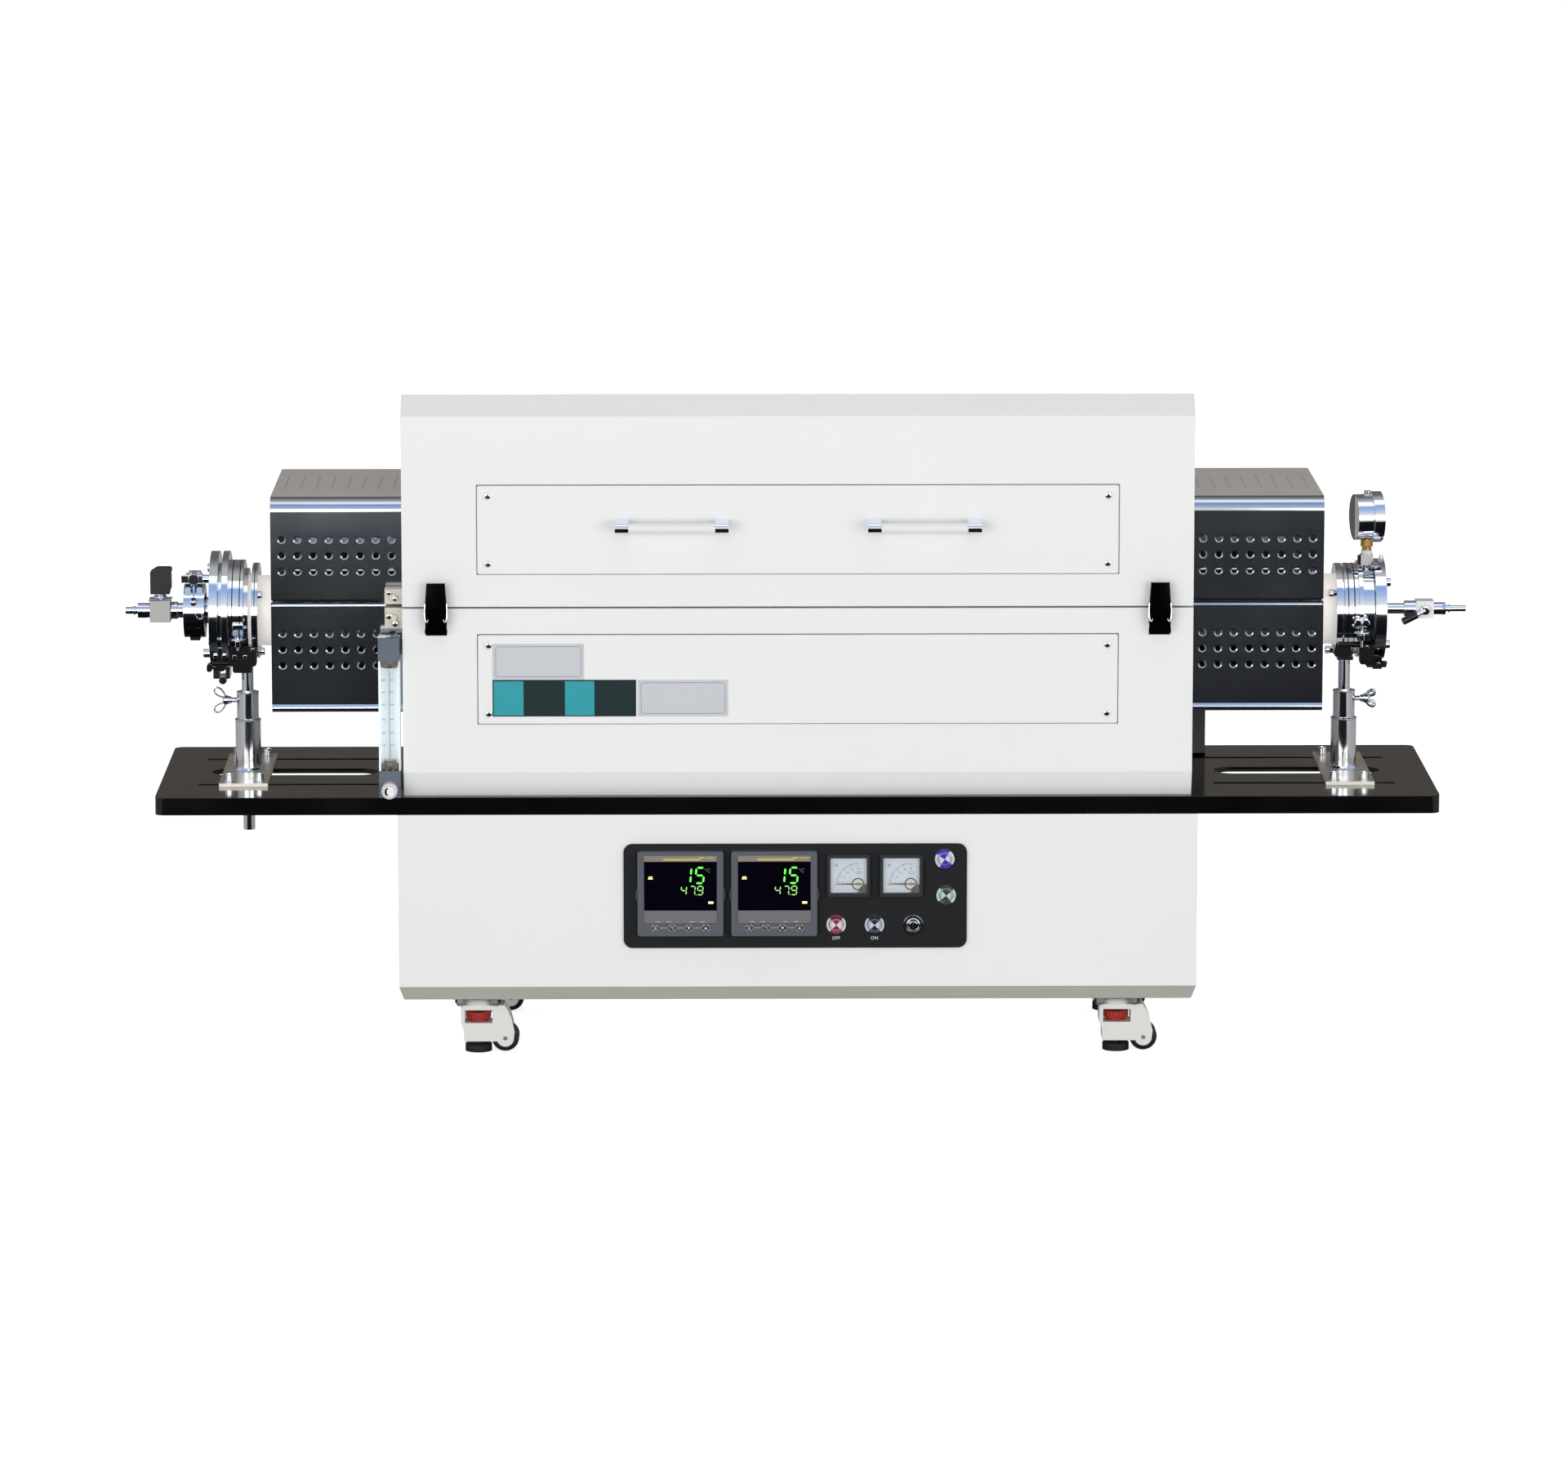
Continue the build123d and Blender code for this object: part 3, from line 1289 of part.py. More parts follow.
# ================================================================ pressure gauge
gauge_axis = (cos(radians(gauge_turn)), sin(radians(gauge_turn)), 0)
gauge_back = Plane(
    origin=(
        gauge_x - gauge_axis[0] * gauge_thick / 2,
        -gauge_axis[1] * gauge_thick / 2,
        gauge_z,
    ),
    x_dir=(-gauge_axis[1], gauge_axis[0], 0),
    z_dir=gauge_axis,
)
with BuildPart() as gauge_case:
    with BuildSketch(gauge_back) as case:
        Circle(gauge_radius)
    extrude(case.sketch, amount=gauge_thick - 4)
    with BuildSketch(gauge_back.offset(gauge_thick - 12)) as rim:
        Circle(gauge_bezel_radius)
    extrude(rim.sketch, amount=12)
    with BuildSketch(gauge_back.offset(gauge_thick - 9)) as dial_well:
        Circle(gauge_radius - 2)
    extrude(dial_well.sketch, amount=10, mode=Mode.SUBTRACT)
    with BuildSketch(gauge_back.offset(gauge_thick - 2.2)) as glass:
        Circle(gauge_radius - 2 - fit_gap)
    extrude(glass.sketch, amount=1.6)
    stem_top_z = gauge_z - gauge_radius + 4
    fitting_bottom = tube_z + right_neck_radius + fit_gap
    rod_z(gauge_x, 0, (fitting_bottom, stem_top_z), 4.5)
    hex_z(gauge_x, 0, (fitting_bottom + 3, fitting_bottom + 16), 11)
    hex_z(gauge_x, 0, (gauge_z - gauge_radius - 8, gauge_z - gauge_radius - 1), 12)
    rod_z(gauge_x, 0, (gauge_z + gauge_radius - 2, gauge_z + gauge_radius + 4), 4)
save(gauge_case.part, "gauge_case")

with BuildPart() as gauge_pointer:
    with BuildSketch(gauge_back.offset(gauge_thick - 6)) as needle:
        with BuildLine():
            Polyline((-12, -12 + 1), (-12 + 1, -12), (5, 3), (3, 5), close=True)
        make_face()
        Circle(2.5)
    extrude(needle.sketch, amount=0.8)
    with BuildSketch(gauge_back.offset(gauge_thick - 8.7)) as spindle:
        Circle(1.2)
    extrude(spindle.sketch, amount=3)
save(gauge_pointer.part, "gauge_pointer")


# ================================================================ flange stands
with BuildPart() as flange_stands:
    for side in sides.values():
        x = side * stand_x
        with BuildSketch(Plane((x, 0, shelf_top))) as foot:
            Rectangle(foot_width, foot_depth)
        extrude(foot.sketch, amount=foot_thick)
        for bx, by in four_corners(2 * foot_bolt_x, 2 * bolt_slot_y):
            head = (shelf_top + foot_thick + fit_gap, shelf_top + foot_thick + foot_bolt_head)
            hex_z(x + bx, by, head, foot_bolt_flats)
        rod_z(x, 0, (shelf_top + foot_thick - 1, sleeve_lower_top), sleeve_lower_radius)
        rod_z(x, 0, (sleeve_lower_top - 1, sleeve_upper_top), sleeve_upper_radius)
        rod_z(x, 0, (shelf_top - 1, sleeve_upper_top + 1), rod_radius + shaft_gap, mode=Mode.SUBTRACT)
        side_x = (x, x + side * (sleeve_upper_radius + 1))
        rod_x((min(side_x), max(side_x)), 0, wing_z, wing_screw_radius + shaft_gap, mode=Mode.SUBTRACT)
save(flange_stands.part, "flange_stands")

rod_feet = {"left": rod_bottom, "right": rod_bottom_right}
drum_radii = {"left": left_drum_radius, "right": right_drum_radius}
for name, side in sides.items():
    x = side * stand_x
    saddle_top = tube_z - drum_radii[name] - seat_gap
    with BuildPart() as support_rod:
        rod_z(x, 0, (rod_feet[name], saddle_top - saddle_high + 1), rod_radius)
        block((x - 9, x + 9), (-13, 13), (saddle_top - saddle_high, saddle_top))
    save(support_rod.part, f"support_rod_{name}")

    screw_tip = x + side * (rod_radius + run_gap)
    screw_end = x + side * wing_reach
    with BuildPart() as wing_screw:
        shank = (screw_tip, screw_end - side * 8)
        rod_x((min(shank), max(shank)), 0, wing_z, wing_screw_radius)
        hub = (screw_end - side * 14, screw_end - side * 4)
        rod_x((min(hub), max(hub)), 0, wing_z, 5.5)
        with BuildSketch(side_plane(screw_end, 1.5, wing_z)) as blades:
            with BuildLine():
                Polyline(
                    (-side * 12, -3),
                    (-side * 12, 3),
                    (-side * 6, 14),
                    (0, 14),
                    (-side * 4, 3),
                    (-side * 4, -3),
                    (0, -14),
                    (-side * 6, -14),
                    close=True,
                )
            make_face()
        extrude(blades.sketch, amount=3)
    save(wing_screw.part, f"wing_screw_{name}")
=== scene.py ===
import json
from itertools import product
from math import asin, cos, degrees, hypot, pi, radians, sin, tau

import bmesh
import bpy
from mathutils import Matrix, Vector


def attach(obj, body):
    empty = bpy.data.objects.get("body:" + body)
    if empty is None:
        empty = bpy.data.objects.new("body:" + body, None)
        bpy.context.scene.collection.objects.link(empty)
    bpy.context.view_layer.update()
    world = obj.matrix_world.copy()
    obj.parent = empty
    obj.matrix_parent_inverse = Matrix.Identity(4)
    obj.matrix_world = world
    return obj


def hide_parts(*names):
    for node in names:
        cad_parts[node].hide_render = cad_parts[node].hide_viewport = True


# Split tube furnace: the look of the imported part. Lengths are in millimetres and go
# through MM where they meet Blender; angles are in degrees until they meet cos and sin.

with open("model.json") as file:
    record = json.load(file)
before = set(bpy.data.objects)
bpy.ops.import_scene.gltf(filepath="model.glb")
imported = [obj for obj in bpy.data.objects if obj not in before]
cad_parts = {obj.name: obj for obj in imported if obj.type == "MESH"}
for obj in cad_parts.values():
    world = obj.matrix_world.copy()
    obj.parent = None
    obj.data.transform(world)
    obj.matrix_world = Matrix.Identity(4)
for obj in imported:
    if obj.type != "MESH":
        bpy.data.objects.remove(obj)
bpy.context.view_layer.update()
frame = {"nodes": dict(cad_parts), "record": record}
nodes = frame["nodes"]
scene = bpy.context.scene
MM = 0.001


# ---------------------------------------------------------------- materials
def linear(value):
    """A 0-255 screen value as a linear one."""
    value = value / 255
    return value / 12.92 if value <= 0.04045 else ((value + 0.055) / 1.055) ** 2.4


def rgb(red, green, blue):
    return (linear(red), linear(green), linear(blue), 1)


def add_node(tree, kind, values=(), **settings):
    """A new node with its settings and the values of its inputs."""
    made = tree.nodes.new("ShaderNode" + kind)
    for name, value in settings.items():
        setattr(made, name, value)
    for name, value in dict(values).items():
        made.inputs[name].default_value = value
    return made


def join(tree, *links):
    """Makes links, each given as node, output, node, input."""
    for source, output, target, entry in links:
        tree.links.new(source.outputs[output], target.inputs[entry])


def colour_ramp(tree, *stops):
    """A ramp through (place, colour) stops, of which the first two take its own two elements."""
    made = add_node(tree, "ValToRGB")
    elements = made.color_ramp.elements
    for element, (place, colour) in zip(elements, stops):
        element.position = place
        element.color = colour
    for place, colour in stops[2:]:
        elements.new(place).color = colour
    return made


def grey(value):
    return (value, value, value, 1)


def material(name, colour, metallic=0.0, roughness=0.5, spread=0.08, tint=0.04, grain=900, bump=0.0,
        stretch=(1, 1, 1), edge=0.0, blotch=12, emission=0.0, specular=0.5):
    """A surface with uneven colour and gloss, a fine grain, and edges softened in the shading."""
    colour = rgb(*colour)
    made = bpy.data.materials.new(name)
    made.use_nodes = True
    made.diffuse_color = colour
    tree = made.node_tree
    shader = tree.nodes["Principled BSDF"]
    shader.inputs["Metallic"].default_value = metallic
    shader.inputs["Specular IOR Level"].default_value = specular
    coords = add_node(tree, "TexCoord")
    mapping = add_node(tree, "Mapping", {"Scale": stretch})
    patches = add_node(tree, "TexNoise", {"Scale": blotch, "Detail": 5})
    dark, light = ([min(1, part * share) for part in colour[:3]] + [1]
        for share in (1 - tint, 1 + tint))
    mix = add_node(tree, "Mix", {"A": dark, "B": light}, data_type="RGBA")
    gloss = add_node(tree, "MapRange", {"From Min": 0.3, "From Max": 0.7,
        "To Min": max(0.02, roughness - spread / 2), "To Max": roughness + spread / 2})
    join(tree, (coords, "Object", mapping, "Vector"), (mapping, "Vector", patches, "Vector"),
        (patches, "Fac", mix, "Factor"), (mix, "Result", shader, "Base Color"),
        (patches, "Fac", gloss, "Value"), (gloss, "Result", shader, "Roughness"))
    normal = None
    if edge:
        normal = add_node(tree, "Bevel", {"Radius": edge * MM}, samples=4)
    if bump:
        fine = add_node(tree, "TexNoise", {"Scale": grain, "Detail": 2})
        relief = add_node(tree, "Bump", {"Strength": 1.0, "Distance": bump * MM})
        join(tree, (mapping, "Vector", fine, "Vector"), (fine, "Fac", relief, "Height"))
        if normal:
            join(tree, (normal, "Normal", relief, "Normal"))
        normal = relief
    if normal:
        join(tree, (normal, "Normal", shader, "Normal"))
    if emission:
        shader.inputs["Emission Color"].default_value = colour
        shader.inputs["Emission Strength"].default_value = emission
    return made


# After the colour come metallic, roughness, spread and tint.
white_paint = material("white_paint", (243, 244, 243), 0, 0.42, 0.06, 0.012, grain=700, bump=0.02,
    edge=1.2, blotch=5)
black_paint = material("black_paint", (9, 8, 8), 0, 0.14, 0.08, 0.15, grain=600, bump=0.004,
    edge=1.2, blotch=9)
panel_black = material("panel_black", (13, 15, 17), 0, 0.5, 0.1, 0.1, grain=1500, bump=0.02,
    specular=0.3)
polished = material("polished_steel", (226, 228, 232), 1.0, 0.09, 0.06, 0.03, grain=300, bump=0.0,
    edge=0.7)
sheet_steel = material("sheet_steel", (186, 193, 201), 0.99, 0.1, 0.05, 0.04, grain=20, bump=0.04,
    blotch=4)
# The upper guard's top faces: the sheet steel painted nearly white, a painted reflection of the
# bright sky over it.
guard_top_painted_reflection = material("guard_top_painted_reflection", (236, 232, 225), 0.12, 0.3, 0.08, 0.03, grain=60, bump=0.1,
    blotch=5)
satin = material("satin_steel", (196, 197, 199), 1.0, 0.26, 0.1, 0.05, grain=500, bump=0.01,
    edge=0.5)
chrome = material("chrome", (232, 234, 238), 1.0, 0.05, 0.04, 0.02, edge=0.6)
zinc = material("zinc", (176, 179, 184), 1.0, 0.35, 0.15, 0.08, grain=500, bump=0.03, edge=0.5)
dark_steel = material("dark_steel", (58, 56, 54), 1.0, 0.3, 0.1, 0.1, edge=0.5)
brass = material("brass", (186, 148, 74), 1.0, 0.25, 0.1, 0.08, edge=0.4)
ceramic = material("alumina", (243, 237, 231), 0, 0.38, 0.08, 0.02, grain=800, bump=0.03)
# The tube's ends glow faintly: painted light that brightens them where they lie in shade between
# guard and flange.
ceramic_end_painted_glow = material("alumina_end_painted_glow", (243, 237, 231), 0, 0.38, 0.08, 0.02, grain=800, bump=0.03,
    emission=0.42)
fibre = material("fibre", (240, 238, 230), 0, 0.95, 0.04, 0.05, grain=700, bump=0.5, blotch=30,
    specular=0.1)
nylon_white = material("nylon_white", (236, 236, 232), 0, 0.38, 0.08, 0.02, grain=800, bump=0.02,
    edge=0.8)
nylon_black = material("nylon_black", (22, 22, 23), 0, 0.4, 0.1, 0.1, grain=700, bump=0.03,
    edge=0.6)
rubber = material("rubber", (26, 26, 27), 0, 0.72, 0.1, 0.12, grain=900, bump=0.06, edge=0.8)
grip_white = material("grip_white", (240, 240, 240), 0, 0.3, 0.05, 0.01, edge=0.8)
grip_black = material("grip_black", (12, 12, 13), 0, 0.36, 0.1, 0.1, grain=700, bump=0.02, edge=1.0)
bezel_grey = material("bezel_grey", (84, 89, 98), 0, 0.45, 0.08, 0.03, grain=1200, bump=0.03,
    edge=0.8)
cream = material("cream_block", (222, 216, 200), 0, 0.5, 0.08, 0.03, grain=700, bump=0.03, edge=0.8)
parts_grey = material("electrics", (120, 122, 126), 0.6, 0.45, 0.15, 0.15, grain=400, bump=0.03)
spun = material("spun_face", (196, 198, 202), 1.0, 0.22, 0.06, 0.04)
spun_red = material("spun_red", (196, 150, 150), 1.0, 0.24, 0.06, 0.04)


def clear(name, colour, alpha):
    """A thin clear plastic: a faint body and its gloss."""
    made = material(name, colour, 0, 0.05, 0.02, 0.01)
    made.node_tree.nodes["Principled BSDF"].inputs["Alpha"].default_value = alpha
    return made


clear_plastic = clear("clear_plastic", (236, 244, 247), 0.16)
clear_cover = clear("clear_cover", (244, 248, 250), 0.06)

looks = {"cabinet_paint": white_paint, "shell_paint": white_paint, "shelf_paint": black_paint,
    "zinc_plate": zinc, "white_nylon": nylon_white, "black_nylon": nylon_black,
    "pad_rubber": rubber, "electrics": parts_grey, "panel_black": panel_black,
    "instrument": bezel_grey, "chrome": chrome, "stainless": polished,
    "stainless_sheet": sheet_steel, "steel_button": spun, "red_button": spun_red,
    "key_plastic": cream, "pointer_paint": nylon_black, "fibre": fibre, "alumina": ceramic,
    "clear_acrylic": clear_plastic, "meter_body": clear_plastic, "white_grip": grip_white,
    "black_grip": grip_black}
for subpart in frame["record"]["subparts"]:
    mesh = nodes[subpart["node"]].data
    mesh.materials.clear()
    mesh.materials.append(looks[subpart["material_slot"]])


# ---------------------------------------------------------------- mesh kit
AXES = {"x": (1, 2, 0), "y": (0, 2, 1), "z": (0, 1, 2)}


def on_axis(axis, across, up, along):
    """A point from its two places across an axis and its place along it."""
    point = [0.0, 0.0, 0.0]
    for slot_number, value in zip(AXES[axis], (across, up, along)):
        point[slot_number] = value
    return Vector(point)


def on_circle(middle, radius, angle):
    return (middle[0] + radius * cos(radians(angle)), middle[1] + radius * sin(radians(angle)))


def arc(middle, radius, start, end, steps=8):
    """Points on an arc, both ends included."""
    return [on_circle(middle, radius, start + (end - start) * step / steps)
        for step in range(steps + 1)]


def rounded(left, right, bottom, top, radius, steps=6):
    """The outline of a rectangle with round corners."""
    return (arc((right - radius, top - radius), radius, 0, 90, steps)
        + arc((left + radius, top - radius), radius, 90, 180, steps)
        + arc((left + radius, bottom + radius), radius, 180, 270, steps)
        + arc((right - radius, bottom + radius), radius, 270, 360, steps))


class Kit:
    """One piece, put together in millimetres from closed forms, each with its own finish."""

    def __init__(self, name):
        self.name = name
        self.mesh = bmesh.new()
        self.finishes = []
        self.finish = 0
        self.turn = Matrix()

    def use(self, finish):
        if finish not in self.finishes:
            self.finishes.append(finish)
        self.finish = self.finishes.index(finish)
        return self

    def loft(self, rings, cyclic=False):
        """Quads from ring to ring, with flat ends or joined round."""
        made = [[self.mesh.verts.new(self.turn @ Vector(point)) for point in ring]
            for ring in rings]
        pairs = list(zip(made, made[1:])) + ([(made[-1], made[0])] if cyclic else [])
        faces = []
        for first, second in pairs:
            for number in range(len(first)):
                after = (number + 1) % len(first)
                faces.append(self.mesh.faces.new((first[number], first[after], second[after],
                    second[number])))
        if not cyclic:
            faces += [self.mesh.faces.new(made[0]), self.mesh.faces.new(made[-1])]
        for face in faces:
            face.material_index = self.finish
        return self

    def prism(self, outline, axis, start, end):
        return self.loft([[on_axis(axis, *point, along) for point in outline]
            for along in (start, end)])

    def plate(self, outline, axis, start, end):
        return self.prism(rounded(*outline), axis, start, end)

    def box(self, x, y, z):
        return self.prism([(x[0], z[0]), (x[1], z[0]), (x[1], z[1]), (x[0], z[1])], "y", *y)

    def lathe(self, axis, middle, profile, cyclic=False, steps=40, flats=0, start=0.0):
        """Turns (radius, along) pairs about an axis through middle; flats gives so many sides."""
        steps = flats or steps
        rings = []
        for radius, along in profile:
            rings.append([on_axis(axis, middle[0] + radius * cos(start + tau * step / steps),
                middle[1] + radius * sin(start + tau * step / steps), along)
                for step in range(steps)])
        return self.loft(rings, cyclic=cyclic)

    def tube(self, points, radius, sides=10, closed=False):
        """A round bar along a line of points."""
        points = [Vector(point) for point in points]
        rings = []
        across = None
        count = len(points)
        for number, point in enumerate(points):
            before = points[(number - 1) % count] if closed or number else point
            after = points[(number + 1) % count] if closed or number < count - 1 else point
            along = (after - before).normalized()
            if across is None:
                across = along.orthogonal().normalized()
            across = (across - along * across.dot(along)).normalized()
            up = along.cross(across)
            size = radius[number] if isinstance(radius, (list, tuple)) else radius
            rings.append([point + across * size * cos(tau * side / sides)
                + up * size * sin(tau * side / sides) for side in range(sides)])
        return self.loft(rings, cyclic=closed)

    def words(self, text, place, size, depth=0.15):
        """Raised letters that face -Y."""
        curve = bpy.data.curves.new(self.name, "FONT")
        curve.body = text
        curve.size = size
        curve.extrude = depth / 2
        curve.align_x = "CENTER"
        curve.align_y = "CENTER"
        curve.resolution_u = 3
        holder = bpy.data.objects.new(self.name, curve)
        letters = bpy.data.meshes.new_from_object(holder)
        letters.transform(Matrix.Translation(Vector(place)) @ Matrix.Rotation(pi / 2, 4, "X"))
        before = len(self.mesh.faces)
        self.mesh.from_mesh(letters)
        self.mesh.faces.ensure_lookup_table()
        for face in self.mesh.faces[before:]:
            face.material_index = self.finish
        bpy.data.objects.remove(holder)
        bpy.data.meshes.remove(letters)
        return self

    def cut(self, cutter):
        pair = []
        for kit in (self, cutter):
            bmesh.ops.recalc_face_normals(kit.mesh, faces=kit.mesh.faces)
            mesh = bpy.data.meshes.new(kit.name)
            kit.mesh.to_mesh(mesh)
            holder = bpy.data.objects.new(kit.name, mesh)
            scene.collection.objects.link(holder)
            pair.append(holder)
        cutting = pair[0].modifiers.new("cut", "BOOLEAN")
        cutting.object = pair[1]
        cutting.solver = "EXACT"
        result = bpy.data.meshes.new_from_object(pair[0].evaluated_get(
            bpy.context.evaluated_depsgraph_get()))
        self.mesh.clear()
        self.mesh.from_mesh(result)
        for holder in pair:
            bpy.data.objects.remove(holder)
        return self

    def done(self, body, slot, replaces=(), bevel=0.0, smooth=35):
        """Makes the piece, in metres, and puts it on its body."""
        bmesh.ops.recalc_face_normals(self.mesh, faces=self.mesh.faces)
        mesh = bpy.data.meshes.new(self.name)
        self.mesh.to_mesh(mesh)
        self.mesh.free()
        mesh.transform(Matrix.Scale(MM, 4))
        for finish in self.finishes:
            mesh.materials.append(finish)
        mesh.shade_smooth()
        mesh.set_sharp_from_angle(angle=radians(smooth))
        piece = bpy.data.objects.new(self.name, mesh)
        scene.collection.objects.link(piece)
        if bevel:
            soften = piece.modifiers.new("bevel", "BEVEL")
            soften.width = bevel * MM
            soften.segments = 2
            soften.limit_method = "ANGLE"
            soften.angle_limit = radians(40)
            soften.harden_normals = True
        even = piece.modifiers.new("normals", "WEIGHTED_NORMAL")
        even.keep_sharp = True
        even.weight = 100
        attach(piece, body)
        if replaces:
            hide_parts(*replaces)
        return piece


# ---------------------------------------------------------------- perforated guards
GUARD_INNER, GUARD_OUTER = 440.3, 587.7
GUARD_SHEET = 1.5
GUARD_HALF, GUARD_LIP, NOTCH = 127.0, 3.0, 43
HOLE_PITCH = 17.5
HOLE_ROWS = (35.0, 53.0, 71.0)
SPLIT = 514.0
TUBE_Z = 486.0
TUBE_AXIS = (0, TUBE_Z)
TUBE_RADIUS, TUBE_BORE = 40, 36.0


def guard_section(edge_z, far_z, bend, inset):
    """The bent sheet's line from lip to lip, moved inwards by inset."""
    up = 1 if far_z > edge_z else -1
    line = [(-GUARD_HALF + 11, edge_z + up * inset)]
    line += [(y, edge_z + up * (GUARD_LIP + dz)) for y, dz in arc((-GUARD_HALF + GUARD_LIP, 0),
        GUARD_LIP - inset, 270, 180, 4)]
    line += [(y, far_z - up * (bend - dz)) for y, dz in arc((-GUARD_HALF + bend, 0), bend - inset,
        180, 90, 8)]
    return line + [(-y, z) for y, z in reversed(line)]


def guard_half(kit, side, edge_z, far_z, bend, top_holes):
    """One bent sheet with its punched holes, and the end plate with its notch for the tube."""
    up = 1 if far_z > edge_z else -1
    xs = (side * GUARD_INNER, side * GUARD_OUTER)
    sheet = Kit("guard_sheet").use(sheet_steel)
    sheet.prism(guard_section(edge_z, far_z, bend, 0) + guard_section(edge_z, far_z, bend,
        GUARD_SHEET)[::-1], "x", *xs)
    punch = Kit("punch")
    columns = [side * 514 + (number - 3.5) * HOLE_PITCH for number in range(8)]
    for x in columns:
        for row in HOLE_ROWS:
            punch.lathe("y", (x, SPLIT + up * row), [(5.0, -127.2), (4.55, -127.0), (3.25, -126.4),
                (3.25, -120)], steps=24)
        for number in range(6 if top_holes else 0):
            punch.lathe("z", (x, (number - 2.5) * 18), [(1.5, far_z - 4), (1.5, far_z + 0.5)],
                steps=16)
    sheet.cut(punch)
    mesh = bpy.data.meshes.new("guard_sheet")
    sheet.mesh.to_mesh(mesh)
    kit.use(sheet_steel)
    kit.mesh.from_mesh(mesh)
    bpy.data.meshes.remove(mesh)
    # The top faces of the upper guard get the painted sky reflection.
    if top_holes:
        kit.use(guard_top_painted_reflection)
        for face in kit.mesh.faces:
            if face.calc_center_median().z > far_z - 0.2:
                face.material_index = kit.finish
    edge = guard_section(edge_z, far_z, bend, 0.2)[5:-5]
    if up > 0:
        rise = edge_z - TUBE_Z
        open_angle = degrees(asin(rise / NOTCH))
        notch = arc(TUBE_AXIS, NOTCH, open_angle, 180 - open_angle, 16)
        outline = edge + [(126.8, edge_z), (notch[0][0], edge_z)] + notch[1:] + [(-126.8, edge_z)]
    else:
        notch = arc(TUBE_AXIS, NOTCH, 0, -180, 20)
        outline = edge + [(126.8, edge_z), (NOTCH, edge_z)] + notch + [(-NOTCH, edge_z),
            (-126.8, edge_z)]
    kit.prism(outline, "x", side * (GUARD_OUTER - GUARD_SHEET), side * (GUARD_OUTER + 0.2))


guards = Kit("guard_lower")
for side in (-1, 1):
    guard_half(guards, side, 513, 389, 10, False)
    leg = sorted((side * 456, side * 472))
    guards.use(nylon_black).box(leg, (96, 99), (300, 389.2))
    for foot in ((300, 303), (385.9, 388.9)):
        guards.box(leg, (96, 113), foot)
for side in (-1, 1):
    guards.use(polished).prism([(-126.9 - 1.9 * sin(pi * step / 12), 390.6 + 8.4 * step / 12)
        for step in range(13)], "x", side * GUARD_INNER, side * GUARD_OUTER)
guards.done("root", "stainless_sheet", replaces=["lower_guards"], smooth=18)
guards = Kit("guard_upper")
for side in (-1, 1):
    guard_half(guards, side, 515, 632, 16, True)
guards.done("lid", "stainless_sheet", replaces=["upper_guards"], smooth=18)


# ---------------------------------------------------------------- ceramic tube
tube = Kit("furnace_tube")
# Both tube ends take the glowing finish, painted light over their shaded stretch.
for finish, start, end in ((ceramic_end_painted_glow, -640, -588.5), (ceramic, -588.5, 588.5),
        (ceramic_end_painted_glow, 588.5, 634)):
    tube.use(finish).lathe("x", TUBE_AXIS, [(TUBE_BORE, start), (TUBE_RADIUS, start),
        (TUBE_RADIUS, end), (TUBE_BORE, end)], cyclic=True, steps=96)
tube.done("root", "alumina", replaces=["process_tube"])

# ---------------------------------------------------------------- control panel
display_black = material("display", (6, 5, 16), 0, 0.07, 0.03, 0.1)
meter_black = material("meter_black", (26, 29, 31), 0, 0.42, 0.08, 0.08, bump=0.02, edge=0.6)
dial_white = material("dial_white", (214, 222, 232), 0, 0.5, 0.05, 0.015)
print_grey = material("print_grey", (120, 128, 140), 0, 0.6, 0.05, 0.05)
print_white = material("print_white", (225, 227, 230), 0, 0.6, 0.05, 0.03)
strip_grey = material("strip_grey", (112, 110, 113), 0, 0.5, 0.08, 0.03, grain=1500, bump=0.02)
header_tan = material("header_tan", (140, 128, 118), 0, 0.5, 0.08, 0.03)
header_gold = material("header_gold", (205, 192, 92), 0, 0.42, 0.06, 0.03)
key_dark = material("key_dark", (52, 60, 70), 0, 0.3, 0.06, 0.06)
lit_green = material("lit_green", (96, 238, 76), roughness=0.5, emission=0.75)
lit_pale = material("lit_pale", (150, 216, 118), roughness=0.5, emission=0.6)
lit_amber = material("lit_amber", (250, 226, 150), roughness=0.5, emission=0.8)
CONTROLLERS = {"left": -131.4, "right": -26.5}
CONTROLLER_Z = 191.8
AMMETERS = {"left": 56.6, "right": 115.6}
KEYS = (-28.2, -9.5, 9.3, 28.3)
WINDOW = (-177.35, -176.8)
RAISED = (-177.55, -177.3)

cases = nodes["instrument_cases"].data
for extra in (display_black, meter_black, dial_white, clear_cover):
    cases.materials.append(extra)
for polygon in cases.polygons:
    x, y, z = (part / MM for part in polygon.center)
    if abs(x) > 30 and x < 25:
        middle = CONTROLLERS["left"] if x < -79 else CONTROLLERS["right"]
        if -176.9 < y < -174.8 and abs(x - middle) < 40.2 and abs(z - 200.8) < 25.2:
            polygon.material_index = 1
    elif x > 25:
        polygon.material_index = 2
        middle = AMMETERS["left"] if x < 86 else AMMETERS["right"]
        if -175.8 < y < -174.1 and abs(x - middle) < 20.7 and abs(z - 212) < 20.2:
            polygon.material_index = 4
        elif abs(y + 170.5) < 0.1 and abs(polygon.normal.y) > 0.9:
            polygon.material_index = 3
    elif -176.9 < y < -174.8 and abs(x - CONTROLLERS["right"]) < 40.2 and abs(z - 200.8) < 25.2:
        polygon.material_index = 1

SEGMENTS = {"a": ((0, 2), (1, 2)), "b": ((1, 1), (1, 2)), "c": ((1, 0), (1, 1)),
    "d": ((0, 0), (1, 0)), "e": ((0, 0), (0, 1)), "f": ((0, 1), (0, 2)), "g": ((0, 1), (1, 1))}
DIGITS = {"1": "bc", "5": "afgcd", "4": "fgbc", "7": "abc", "9": "abcdfg"}


